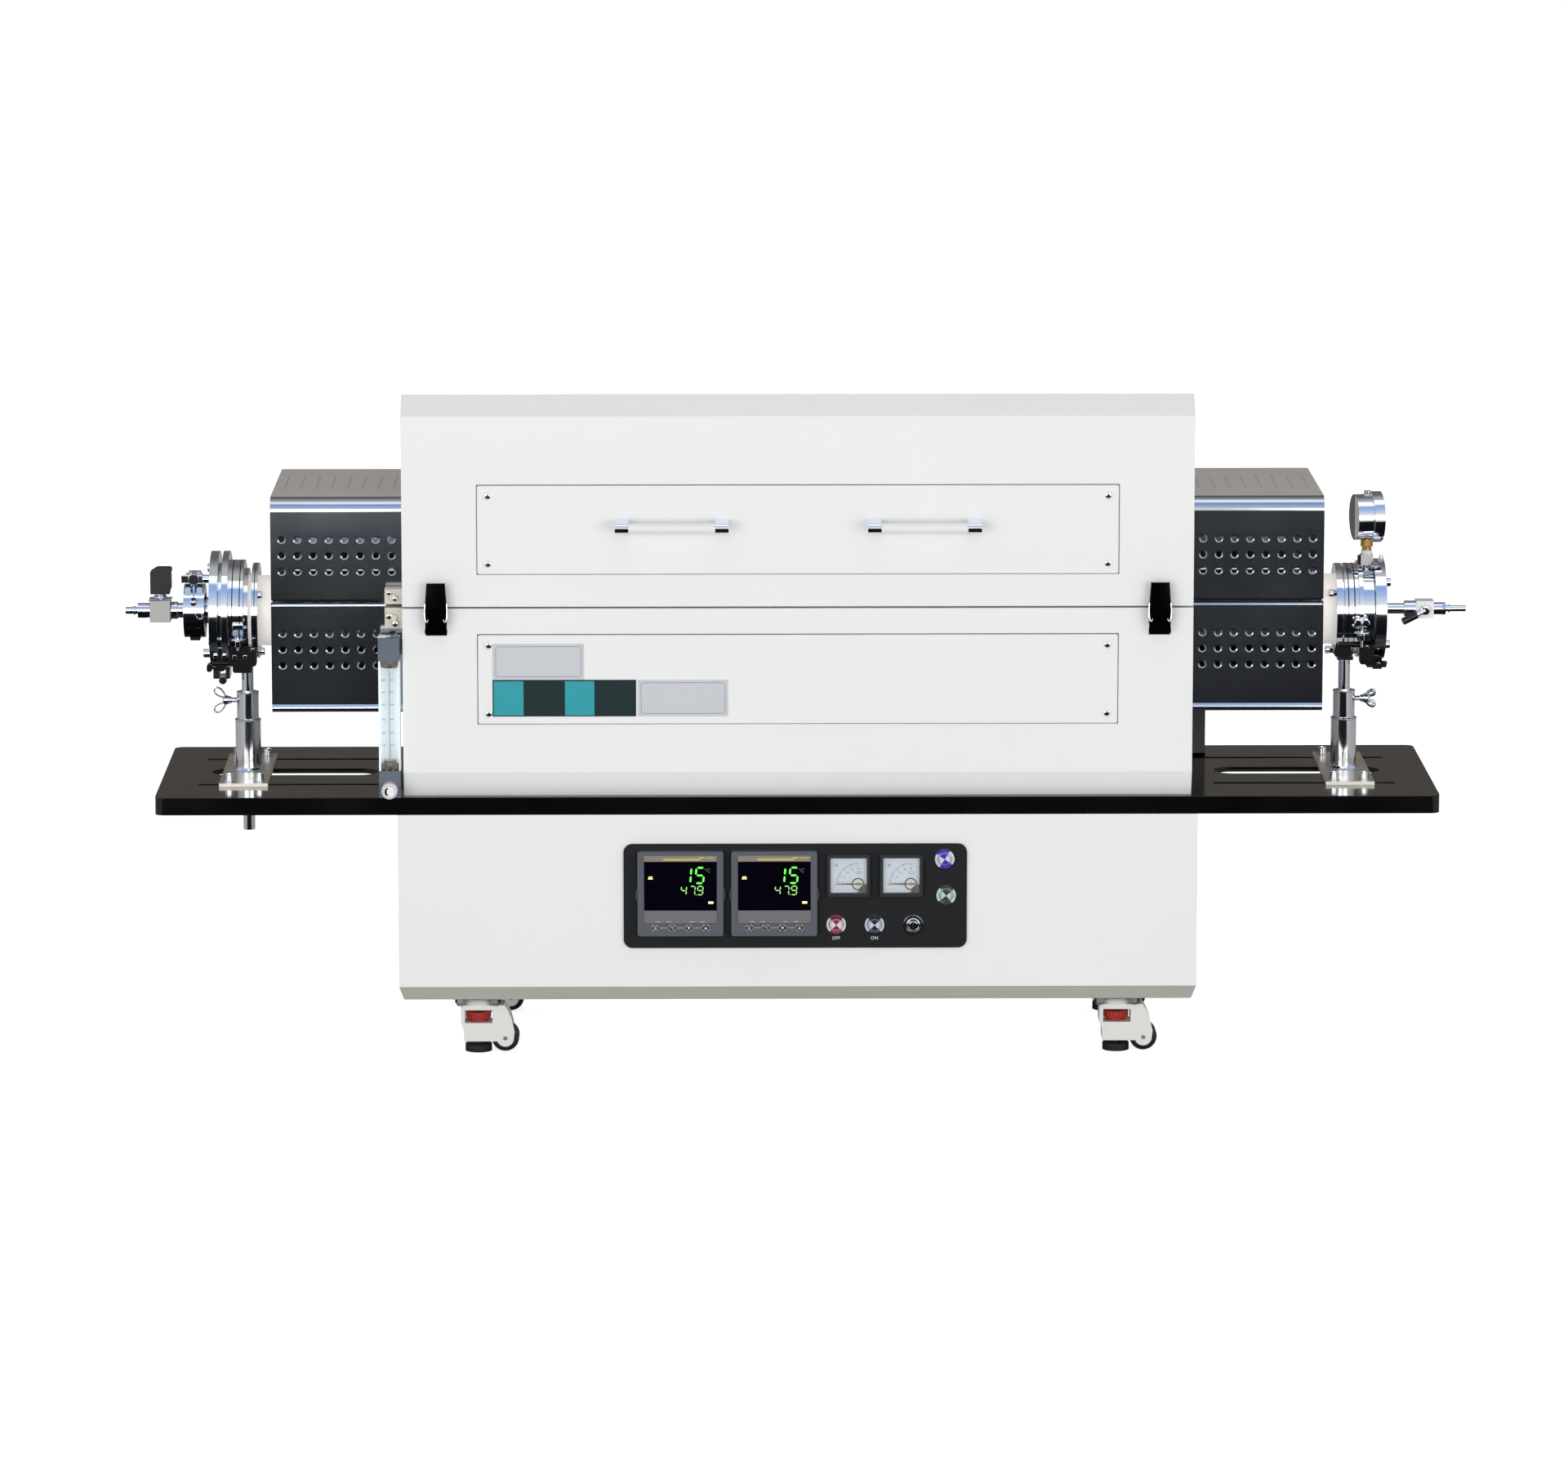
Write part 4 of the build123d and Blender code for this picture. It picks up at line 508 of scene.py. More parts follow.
def segment_digit(kit, digit, x, z, width, high, thick):
    """A slanted seven-segment digit, its lower left corner at x, z."""
    for name in DIGITS[digit]:
        ends = []
        for across, up in SEGMENTS[name]:
            ends.append((x + across * width + up * high / 2 * 0.08, z + up * high / 2))
        (x0, z0), (x1, z1) = ends
        length = hypot(x1 - x0, z1 - z0)
        ax, az = (x1 - x0) / length, (z1 - z0) / length
        gap = thick * 0.42
        half = thick / 2
        line = [(gap, 0), (gap + half, half), (length - gap - half, half), (length - gap, 0),
            (length - gap - half, -half), (gap + half, -half)]
        kit.prism([(x0 + u * ax - v * az, z0 + u * az + v * ax) for u, v in line], "y", *RAISED)


for name, cx in CONTROLLERS.items():
    cz = CONTROLLER_Z
    kit = Kit(f"controller_front_{name}")
    kit.use(bezel_grey).plate((cx - 41.4, cx + 41.4, cz - 34, cz + 44.2, 1.2), "y", -177.15, -176.6)
    kit.use(display_black).plate((cx - 40.6, cx + 40.6, cz - 18.5, cz + 36.8, 0.5), "y", *WINDOW)
    kit.use(strip_grey).plate((cx - 40.6, cx + 40.6, cz - 33.2, cz - 19.0, 0.5), "y", *WINDOW)
    kit.use(header_tan).plate((cx - 40.6, cx + 40.6, cz + 37.1, cz + 43.6, 0.5), "y", *WINDOW)
    kit.use(header_gold).prism([(cx - 19, cz + 38.4), (cx + 21, cz + 38.4), (cx + 23.6, cz + 40.6),
        (cx + 27, cz + 40.6), (cx + 27, cz + 42.2), (cx + 22.4, cz + 42.2), (cx + 20, cz + 40.4),
        (cx - 19, cz + 40.4)], "y", *RAISED)
    kit.box((cx + 29, cx + 38), RAISED, (cz + 40.6, cz + 41.6))
    for finish, digits in ((lit_green, (("1", 3.6, 12.6, 7.4, 17.5, 2.1),
            ("5", 16.6, 12.6, 8.8, 17.5, 2.1))), (lit_pale, (("4", 0.6, -0.6, 5.6, 9.6, 1.2),
            ("7", 10.2, -0.6, 5.6, 9.6, 1.2), ("9", 18.8, -0.6, 5.8, 9.6, 1.2)))):
        kit.use(finish)
        for digit, dx, dz, wide, high, thick in digits:
            segment_digit(kit, digit, cx + dx, cz + dz, wide, high, thick)
    kit.box((cx + 17.0, cx + 17.9), RAISED, (cz - 1.1, cz - 0.2))
    kit.use(strip_grey).words("°C", (cx + 30.2, RAISED[0] + 0.1, cz + 26.6), 6.0)
    kit.use(lit_amber).plate((cx + 31.2, cx + 36.8, cz - 10.9, cz - 8.3, 0.4), "y", *RAISED)
    kit.plate((cx - 36.2, cx - 30.8, cz + 17.0, cz + 18.6, 0.4), "y", *RAISED)
    kit.plate((cx - 35.6, cx - 31.2, cz + 19.2, cz + 20.2, 0.4), "y", *RAISED)
    kit.use(print_white)
    for left, right in ((-28.2, -9.5), (9.3, 28.3)):
        mid = (left + right) / 2
        for low, high in ((left + 1, mid - 3.4), (mid + 3.4, right - 1)):
            kit.box((cx + low, cx + high), (-177.5, -177.3), (cz - 31.6, cz - 31.2))
    for left, right in zip(KEYS, KEYS[1:]):
        kit.box((cx + left + 5.4, cx + right - 5.4), (-177.15, -176.95), (cz - 38.6, cz - 38.3))
    for side in (-1, 1):
        ring = [(cx + side * 48.1 + 1.5 * cos(angle * pi / 12), -174.6,
            cz - 1 + 6.4 * sin(angle * pi / 12)) for angle in range(24)]
        kit.use(bezel_grey).tube(ring, 0.55, 8, closed=True)
        kit.use(meter_black).prism([(x, z) for x, _, z in ring], "y", -174.8, -172)
    kit.done("root", "instrument")
    keys = Kit(f"controller_key_faces_{name}")
    icons = ("page", "loop", "down", "up")
    for offset, icon in zip(KEYS, icons):
        kx, kz = cx + offset, cz - 38.3
        oval = [[(kx + 4.5 * f * cos(step * pi / 16), -y, kz + 3.3 * f * sin(step * pi / 16))
            for step in range(32)] for f, y in ((1, 177.4), (1, 178.2), (0.93, 178.55),
            (0.7, 178.75))]
        keys.use(key_dark).loft(oval)
        keys.use(print_white)
        top = (-178.95, -178.6)
        if icon == "page":
            for x0, x1, z0, z1 in ((-1.3, 1.3, -1.9, -1.4), (-1.3, 1.3, 1.4, 1.9),
                    (-1.3, -0.8, -1.9, 1.9), (0.8, 1.3, -1.9, 1.9), (-0.4, 0.5, -0.3, 0.2)):
                keys.box((kx + x0, kx + x1), top, (kz + z0, kz + z1))
        elif icon == "loop":
            keys.tube([(kx + 1.4 * cos(a / 10), -178.8, kz + 1.4 * sin(a / 10))
                for a in range(-15, 35, 4)], 0.28, 6)
        else:
            way = 1 if icon == "up" else -1
            keys.prism([(kx - 1.7, kz - way * 1.2), (kx + 1.7, kz - way * 1.2),
                (kx, kz + way * 1.6)], "y", *top)
    keys.done(f"controller_keys_{name}", "key_plastic")

for name, cx in AMMETERS.items():
    left, bottom = cx - 20.5, 192.0
    px, pz = cx + 10.5, 202.0
    dial = Kit(f"ammeter_dial_{name}")
    dial.use(dial_white).plate((left + 0.2, left + 40.8, bottom + 0.2, bottom + 39.8, 0.6), "y",
        -170.75, -170.3)
    top = (-170.9, -170.6)
    dial.use(print_grey)
    dial.words("A", (left + 6.8, -170.85, bottom + 31), 6.4)
    for step in range(21):
        angle = radians(176 - step * 4.3)
        inner, outer = (20.2, 23.6) if step % 5 == 0 else (21.8, 23.6)
        half = 0.012 if step % 5 == 0 else 0.006
        dial.prism([(px + r * cos(angle + h), pz + r * sin(angle + h)) for r,
            h in ((inner, -half), (outer, -half), (outer, half), (inner, half))], "y", *top)
    dial.prism(arc((px, pz), 23.8, 90, 176, 24) + arc((px, pz), 23.5, 176, 90, 24), "y", *top)
    for number, step in zip((0, 10, 20, 30, 40), range(0, 21, 5)):
        angle = radians(176 - step * 4.3)
        dial.words(str(number), (px + 17.2 * cos(angle), -170.85, pz + 17.2 * sin(angle)), 3.4, 0.1)
    dial.box((px - 3, px + 4.6), top, (pz + 13.4, pz + 14.0)).box((px - 2.4, px + 4.6), top,
        (pz + 11.2, pz + 11.7))
    dial.use(meter_black)
    dial.lathe("y", (px, pz), [(6.7, -170.8), (6.9, -171.5), (6.5, -172.5), (5.8, -172.5),
        (5.7, -170.8)], cyclic=True, steps=48)
    corner = [(left + 40.6, bottom + 0.4)] + arc((left + 40.6, bottom + 0.4), 9.2, 90, 180, 14)
    dial.prism(corner, "y", -173.4, -170.6)
    dial.use(cream).lathe("y", (px, pz), [(5.7, -170.8), (5.7, -171.6), (5.2, -171.9)], steps=40)
    dial.use(print_grey).lathe("y", (px, pz), [(1.7, -171.8), (1.7, -172.6), (1.3, -172.9)],
        steps=24)
    dial.done("root", "instrument")


def fan_face(name, centre, painted_dark_fan, pale, ring_tint, tilt):
    """A spun metal face with its reflection painted on: two pale fans of painted highlight, two
    dark fans of painted reflection in the face's own tint, and a fine line.
    """
    made = material(name, pale, metallic=0.35, roughness=0.3, spread=0.05, tint=0.02)
    tree = made.node_tree
    coords = add_node(tree, "TexCoord")
    shift = add_node(tree, "Mapping", {"Location": (-centre[0] * MM, 0, -centre[1] * MM)})
    turned = add_node(tree, "VectorRotate", {"Angle": radians(tilt)}, rotation_type="Y_AXIS")
    parts = add_node(tree, "SeparateXYZ")
    angle = add_node(tree, "Math", operation="ARCTAN2")
    double = add_node(tree, "Math", {1: 2.0}, operation="MULTIPLY")
    wave = add_node(tree, "Math", operation="COSINE")
    fan = add_node(tree, "MapRange", {"From Min": -0.12, "From Max": 0.12})
    mix = add_node(tree, "Mix", {"A": rgb(*painted_dark_fan), "B": rgb(*pale)}, data_type="RGBA")
    level = add_node(tree, "CombineXYZ")
    length = add_node(tree, "VectorMath", operation="LENGTH")
    scaled = add_node(tree, "Math", {1: 1 / (FACE_RADIUS * MM)}, operation="MULTIPLY")
    rings = colour_ramp(tree, (0.0, grey(0)), (1.0, grey(0)), (0.50, grey(0.0)), (0.54, grey(0.75)),
        (0.60, grey(0.75)), (0.64, grey(0.0)))
    lined = add_node(tree, "Mix", {"B": rgb(*ring_tint)}, data_type="RGBA")
    join(tree, (coords, "Object", shift, "Vector"), (shift, "Vector", turned, "Vector"),
        (turned, "Vector", parts, "Vector"), (parts, "Z", angle, 0), (parts, "X", angle, 1),
        (angle, "Value", double, 0), (double, "Value", wave, 0), (wave, "Value", fan, "Value"),
        (fan, "Result", mix, "Factor"), (parts, "X", level, "X"), (parts, "Z", level, "Y"),
        (level, "Vector", length, 0), (length, "Value", scaled, 0), (scaled, "Value", rings, "Fac"),
        (rings, "Color", lined, "Factor"), (mix, "Result", lined, "A"),
        (lined, "Result", tree.nodes["Principled BSDF"], "Base Color"))
    return made


FACE_RADIUS = 11
LAMPS = {
    # centre, painted dark reflection fan, painted highlight fan, ring, tilt
    "lamp_one": ((164.0, 230.0), (70, 52, 190), (236, 236, 250), (150, 140, 240), 12),
    "lamp_two": ((165.7, 188.7), (62, 74, 70), (214, 240, 226), (96, 110, 108), -6),
    "stop": ((42.8, 155.7), (150, 52, 76), (246, 240, 244), (200, 176, 184), 0),
    "start": ((85.7, 155.4), (40, 48, 58), (226, 230, 244), (130, 136, 150), 0),
}
# Each lamp and button face and its rim get painted reflection fans, light and dark, in their
# colour.
for name, (centre, painted_dark_fan, pale, ring_tint, tilt) in LAMPS.items():
    face = fan_face(f"fan_{name}", centre, painted_dark_fan, pale, ring_tint, tilt)
    node = {"stop": "stop_button", "start": "start_button"}.get(name)
    stand = -172.3 if node is None else -173.5
    cap = Kit(f"{name}_face").use(face)
    cap.lathe("y", centre, [(7.7, stand + 0.4), (7.7, stand - 0.1), (7.3, stand - 0.5),
        (0.4, stand - 0.62)], steps=48)
    cap.done(node or "root", "chrome")
    rim = Kit(f"{name}_rim").use(face)
    rim.lathe("y", centre, [(8.5, -171.6), (8.5, -172.2), (9.0, -172.45), (10.4, -172.3),
        (11.0, -171.6)], cyclic=True, steps=56)
    rim.done("root", "chrome")
for name, cx in AMMETERS.items():
    px, pz = cx + 10.5, 202.0
    needle = Kit(f"ammeter_needle_{name}").use(nylon_black)
    needle.prism([(px - 6, pz - 0.75), (px - 25.8, pz - 0.3), (px - 25.8, pz + 0.1),
        (px - 6, pz + 0.95)], "y", -172.5, -172.0)
    needle.done(f"ammeter_pointer_{name}", "pointer_paint")
legend = Kit("panel_legends").use(print_white)
legend.words("OFF", (42.8, -168.05, 139.6), 5.2, 0.2).words("ON", (85.7, -168.05, 139.6), 5.2, 0.2)
legend.done("root", "panel_black")
keyway = Kit("key_switch_face").use(chrome)
keyway.lathe("y", (129, 155.4), [(7.4, -172.4), (7.4, -173.1), (6.9, -173.5), (6.2, -173.5),
    (5.9, -173.0)], steps=48)
keyway.use(dark_steel).lathe("y", (129, 155.4), [(5.9, -172.4), (5.9, -173.2), (5.6, -173.3)],
    steps=40)
keyway.use(chrome).lathe("y", (129, 155.4), [(4.4, -173), (4.4, -173.6), (3.9, -173.9)], steps=40)
keyway.use(meter_black).box((128.3, 129.7), (-174.0, -173.5), (152.2, 158.6))
keyway.done("key_switch_barrel", "chrome")


# ---------------------------------------------------------------- finishes of the small parts
black_oxide = material("black_oxide", (30, 28, 27), 0.7, 0.24, 0.1, 0.15, grain=500, bump=0.01)
# Chrome darkened nearly black: a painted dark reflection, for the latch plates.
chrome_painted_dark_reflection = material("chrome_painted_dark_reflection", (20, 22, 23), 0.85, 0.1, 0.05, 0.1)
lug_steel = material("lug_steel", (176, 198, 224), 0.72, 0.3, 0.1, 0.06, edge=0.6)
valve_grey = material("valve_grey", (186, 186, 184), 0, 0.42, 0.08, 0.03, bump=0.02, edge=0.6)
valve_white = material("valve_white", (246, 246, 246), 0, 0.4, 0.06, 0.01, bump=0.01, edge=0.6)
slate_acrylic = material("slate_acrylic", (112, 120, 134), 0, 0.12, 0.06, 0.08, edge=0.6)
# The flow meter's pale plate glows a little: painted light that lifts its shaded inside.
pale_plate_painted_glow = material("pale_plate_painted_glow", (238, 245, 248), 0, 0.22, 0.08, 0.02, edge=0.5, emission=0.22)
nut_steel = material("nut_steel", (150, 141, 132), 1.0, 0.28, 0.1, 0.1, edge=0.5)
tape_white = material("tape_white", (240, 240, 238), 0, 0.6, 0.06, 0.03, grain=500, bump=0.08)
foot_steel = material("foot_steel", (218, 212, 201), 0.66, 0.34, 0.1, 0.05, grain=300, bump=0.02,
    stretch=(1, 8, 1), edge=0.5)
bolt_zinc = material("bolt_zinc", (150, 152, 138), 0.6, 0.42, 0.1, 0.08, edge=0.4)
# A darker grey for the cabinet's downward front bevel: painted shade where that face gets less
# light.
cabinet_bevel_painted_shade = material("cabinet_bevel_painted_shade", (190, 190, 181), 0, 0.46, 0.06, 0.03, edge=1.2)
gauge_back = material("gauge_back", (34, 33, 32), 0.9, 0.24, 0.1, 0.1, grain=300, bump=0.02)
dial_red = material("dial_red", (176, 44, 38), 0, 0.42, 0.08, 0.05, edge=0.4)
# A dark grey strip round each access panel: painted shadow standing in for the shade in the gap.
gap_shadow_strip = material("painted_gap_shadow", (96, 96, 95), 0, 0.8, 0.05, 0.05)
label_grey = material("label_grey", (205, 208, 213), 0, 0.45, 0.06, 0.012)
label_line = material("label_line", (118, 122, 130), 0, 0.5, 0.05, 0.03)
label_black = material("label_black", (12, 40, 43), 0, 0.4, 0.08, 0.05, specular=0.3)
label_teal = material("label_teal", (24, 160, 172), 0, 0.42, 0.06, 0.02)


def repaint(node, rules):
    """Gives a node's faces other finishes where a rule holds for a face's middle."""
    mesh = nodes[node].data
    for finish, holds in rules:
        mesh.materials.append(finish)
        index = len(mesh.materials) - 1
        for polygon in mesh.polygons:
            if holds(*(part / MM for part in polygon.center)):
                polygon.material_index = index


def pan_head(kit, x, z, face, radius, high):
    """A round-headed screw with a cross, facing -Y."""
    kit.use(chrome).lathe("y", (x, z), [(radius, face), (radius, face - high * 0.35),
        (radius * 0.86, face - high * 0.75), (radius * 0.5, face - high)], steps=28)
    kit.use(black_oxide)
    for wide, high_half in ((radius * 0.5, 0.45), (0.45, radius * 0.5)):
        kit.box((x - wide, x + wide), (face - high - 0.06, face - high + 0.4),
            (z - high_half, z + high_half))


def cap_screw(kit, axis, middle, base, way, radius, high):
    """A socket cap screw whose head stands up from base along an axis; way is +1 or -1."""
    kit.use(chrome).lathe(axis, middle, [(radius, base), (radius, base + way * (high - 0.6)),
        (radius - 0.6, base + way * high), (radius * 0.6, base + way * high),
        (radius * 0.52, base + way * (high - 2.4))], steps=28)
    kit.use(black_oxide).lathe(axis, middle, [(radius * 0.55, base + way * (high - 2.8)),
        (radius * 0.55, base + way * (high - 1.6))], flats=6)


def loop_wing(kit, hub, way, spread, reach, bar):
    """One bent-wire wing: a closed narrow loop from a hub, in the plane of y."""
    along = Vector((way * cos(spread), 0, sin(spread)))
    across = Vector((-along.z, 0, along.x))
    line = []
    for step in range(20):
        angle = tau * step / 20
        widen = (0.23 + 0.08 * cos(angle)) * reach
        line.append(Vector(hub) + along * (reach * 0.55 + reach * 0.45 * cos(angle))
            + across * widen * sin(angle))
    kit.use(chrome).tube(line, bar, 8, closed=True)


# ---------------------------------------------------------------- front of the shells
# Thin dark frames round the access panels: a painted shadow of the gap at each panel's edge.
for name, body, low, high in (("lower", "root", 382.6, 484.4), ("upper", "lid", 551.1, 651.9)):
    trim = Kit(f"panel_gap_shadow_{name}").use(gap_shadow_strip)
    trim.plate((-356.9, 356.9, low, high, 0.8), "y", -165.35, -164.9)
    trim.done(body, "shell_paint")
for name, body, heights in (("lower", "root", (395.0, 472.0)), ("upper", "lid", (563.5, 639.5))):
    screws = Kit(f"access_screws_{name}")
    for x in (-344.5, 344.5):
        for z in heights:
            pan_head(screws, x, z, -167.05, 4.0, 2.7)
    screws.done(body, "chrome")
plates = Kit("label_plates")
face = (-167.35, -167.0)
for left, right, bottom, top in ((-340, -238, 433.4, 473.7), (-178.3, -77.7, 391.8, 433.0)):
    plates.use(label_grey).plate((left, right, bottom, top, 0.8), "y", *face)
    outer = rounded(left + 3.4, right - 3.4, bottom + 3.0, top - 3.0, 3.0)
    inner = rounded(left + 3.9, right - 3.9, bottom + 3.5, top - 3.5, 2.5)
    plates.use(label_line).loft([[(x, y, z) for x, z in ring] for ring,
        y in ((outer, -167.3), (outer, -167.45), (inner, -167.45), (inner, -167.3))], cyclic=True)
plates.use(label_black).plate((-340, -180.2, 391.8, 433.1, 0.8), "y", *face)
plates.use(label_teal)
for left, right in ((-338.7, -305.6), (-259.4, -226.7)):
    plates.box((left, right), (-167.5, -167.3), (393.0, 431.6))
plates.done("root", "shell_paint")

for name, side in (("left", -1), ("right", 1)):
    x = side * 402
    lever = Kit(f"latch_plate_{name}")
    rows = []
    for step in range(17):
        share = step / 16
        z = 485.4 + share * 58.4
        half = 11.9 - 1.6 * max(0, share - 0.62) / 0.38
        front_y = -181.6 + 6.0 * max(0, 0.45 - share) ** 2 / 0.2 + 1.4 * max(0, share - 0.5)
        rows.append([(x - half, front_y + 3.2, z), (x - half, front_y + 0.8, z),
            (x - half + 0.9, front_y, z), (x + half - 0.9, front_y, z),
            (x + half, front_y + 0.8, z), (x + half, front_y + 3.2, z),
            (x + half - 1.4, front_y + 3.2, z), (x + half - 1.4, front_y + 1.8, z),
            (x - half + 1.4, front_y + 1.8, z), (x - half + 1.4, front_y + 3.2, z)])
    # The plate takes the darkened chrome, a painted dark reflection.
    lever.use(chrome_painted_dark_reflection).loft(rows)
    lever.use(chrome)
    for edge in (-1, 1):
        lever.tube([(x + edge * 12.0, -180.4, 521), (x + edge * 12.5, -181.6, 513),
            (x + edge * 12.3, -182.4, 506), (x + edge * 11.3, -183.1, 501.5),
            (x + edge * 9.6, -183.3, 500.2), (x + edge * 8.2, -183.3, 503.6)],
            [0.5, 0.8, 0.9, 0.8, 0.6, 0.35], 8)
        lever.tube([(x + edge * 12.0, -177.4, 493), (x + edge * 12.1, -176.4, 488),
            (x + edge * 11.6, -175.6, 485.8)], [0.4, 0.6, 0.4], 8)
    # Pivot barrel and cheeks: the same painted dark reflection.
    lever.use(chrome_painted_dark_reflection).lathe("x", (-173, 490), [(3.4, x - 8.6), (3.4, x + 8.6)], steps=24)
    for edge in (-1, 1):
        cheek = sorted((x + edge * 10.4, x + edge * 11.7))
        lever.box(cheek, (-180.6, -171.0), (487.0, 502.0))
    lever.box((x - 8.6, x + 8.6), (-179.4, -174.0), (489.0, 491.4))
    lever.done(f"latch_lever_{name}", "chrome", replaces=[f"latch_lever_{name}"], smooth=50)

for name, body, heights, radius in (("lower", "root", (494.6, 503.0), 3.4),
        ("upper", "lid", (522.6, 529.4), 2.8)):
    repaint(f"{name}_shell", [(cream, lambda x, y, z: x < -441)])
    pins = Kit(f"block_screws_{name}")
    for x, z in zip((-444.6 - 3.6, -455.0), heights):
        pan_head(pins, x, z, -155.0, radius, 2.0)
    pins.done(body, "chrome")

# ---------------------------------------------------------------- left flange, clamp and valve
def flange_trim(kit, spread, clamp_face, ring_face, lines, line_form):
    """Four screws on a clamp's face, three on the ring's, and the lines turned in its rim."""
    for z, y in product((spread, -spread), (-spread, spread)):
        cap_screw(kit, "x", (y, TUBE_Z + z), *clamp_face)
    for angle in (30, 150, 270):
        cap_screw(kit, "x", on_circle(TUBE_AXIS, 47, angle), *ring_face)
    for radius, x in lines:
        kit.lathe("x", TUBE_AXIS, [(radius + rise, x + along) for rise, along in line_form],
            cyclic=True, steps=96)


ring = Kit("left_flange_hardware")
LEFT_BOLT = (-629.5, -60.5)
LEFT_VALVE = (-720.5, 0)
ring.use(chrome).box((-635.5, -623.5), (-64, -54), (473.5, 479.0))
ring.tube([(-629.5, -60.5, 478), (-629.5, -60.5, 449)], 1.7, 16)
ring.lathe("z", LEFT_BOLT, [(8.2, 461.2), (8.2, 462.6), (7.8, 462.9)], steps=32)
ring.lathe("z", LEFT_BOLT, [(4.6, 453.2), (5.2, 453.9), (5.2, 460.6), (4.6, 461.2)], flats=6)
ring.use(black_oxide)
for low, high, near, bottom, top in ((-640.4, -609.6, -52, 430, 452.4), (-655, -645, -50, 424, 450),
        (-637, -615, -44, 421, 433), (-666.6, -660.5, -40, 421.5, 430)):
    ring.plate((low, high, bottom, top, 2.5, 4), "y", near, near + 16)
ring.tube([(-659, -47, 433), (-611, -47, 433)], 3.4, 16)
ring.use(chrome)
for x, z in ((-655.4, 441), (-645.6, 441), (-634, 440.6), (-622, 440.6), (-650, 449.4),
        (-613.5, 448.6)):
    ring.plate((x - 2.4, x + 2.4, z - 2.4, z + 2.4, 0.7, 3), "y", -54.6, -50)
flange_trim(ring, 42.43, (-662.1, -1, 4.8, 7.6), (-607.9, 1, 4.4, 5.0),
    ((56.6, -629.0), (56.6, -637.4), (53.0, -612.6)), ((0, 0), (1.15, 0.7), (1.15, 1.5), (0, 2.2)))
ring.done("root", "stainless", bevel=0.25)

clamp = Kit("kf_clamp_hardware")
clamp.use(lug_steel)
for low, high in ((-690.9, -684.6), (-678.0, -671.2)):
    clamp.plate((low, high, 518.0, 530.2, 2.2, 5), "y", -19, -7)
    clamp.plate((low, high, 505.0, 515.6, 1.6, 5), "y", -23, -12)
    clamp.use(black_oxide).box((low + 0.8, high - 0.8), (-19, -9), (514.6, 519.0)).use(lug_steel)
clamp.use(chrome)
clamp.tube([(-681.3, -12, 526), (-681.3, -18, 512), (-681.3, -25, 499), (-681.3, -29, 489)], 2.0,
    16)
clamp.turn = Matrix.Translation((-681.3, -25.5, 499)) @ Matrix.Rotation(radians(28), 4, "X")
clamp.lathe("z", (0, 0), [(4.2, -4.2), (4.8, -3.4), (4.8, 2.6), (3.4, 4.2)], steps=24)
clamp.lathe("z", (0, 0), [(3.4, -9.8), (3.7, -9), (2.6, -4.2)], steps=20)
clamp.turn = Matrix()
loop_wing(clamp, (-680.5, -29.5, 491), 1, radians(-50), 13, 1.1)
loop_wing(clamp, (-682.5, -29.5, 491), -1, radians(-142), 8, 0.9)
clamp.use(black_oxide)
clamp.plate((-687.0, -675.4, 452.6, 458.6, 1.2, 3), "y", -8, 8)
clamp.use(chrome).box((-687, -675.6), (-26.0, -25.2), (469.6, 470.5))
clamp.done("root", "stainless", bevel=0.2)

repaint("kf_clamp", [(black_oxide, lambda x, y, z: z < 477 and y * y
    + (z - TUBE_Z) ** 2 > 26 ** 2)])
repaint("valve_bodies", [(valve_grey, lambda x, y, z: -732.6 < x < -708.4 and 472 < z < 498.5
    and (abs(y) > 8.6 or abs(z - TUBE_Z) > 8.6)), (valve_white, lambda x, y,
    z: 702.6 < x < 723.4 and (abs(y) > 8.6 or abs(z - TUBE_Z) > 8.6))])
bonnet = Kit("left_valve_bonnet").use(chrome)
bonnet.plate((-733.2, -707.6, 497.9, 500.0, 0.6, 3), "y", -10.5, 10.5)
bonnet.done("root", "stainless", bevel=0.2)
grip = Kit("left_valve_grip")
grip.use(chrome).lathe("z", LEFT_VALVE, [(7.6, 500.3), (7.6, 502.6), (6.4, 503.2), (6.4, 505.8)],
    steps=32)
grip.lathe("z", LEFT_VALVE, [(3.6, 492), (3.6, 505)], steps=20)
grip.use(grip_black)
grip.prism([(-731.4, 505.5), (-709.4, 505.5), (-709.4, 510.0), (-707.8, 511.4), (-707.8, 527.2),
    (-709.4, 528.6), (-707.2, 530.2), (-707.2, 534.4), (-709.2, 535.6), (-724.0, 535.6),
    (-731.4, 531.0)], "y", -8.5, 8.5)
grip.done("left_valve_handle", "black_grip", replaces=["left_valve_handle"], bevel=0.9)
ferrule = Kit("left_tail_nuts").use(polished)
ferrule.lathe("x", TUBE_AXIS, [(8.7, -745.6), (9.0, -745.0), (9.0, -736.0), (8.7, -735.4)], flats=6)
ferrule.lathe("x", TUBE_AXIS, [(9.4, -708.6), (9.9, -708.0), (9.9, -701.2), (9.4, -700.6)],
    steps=40)
ferrule.lathe("x", TUBE_AXIS, [(14.6, -668.6), (15.1, -668), (15.1, -664.0), (14.6, -663.4)],
    steps=48)
ferrule.done("root", "stainless", bevel=0.2)

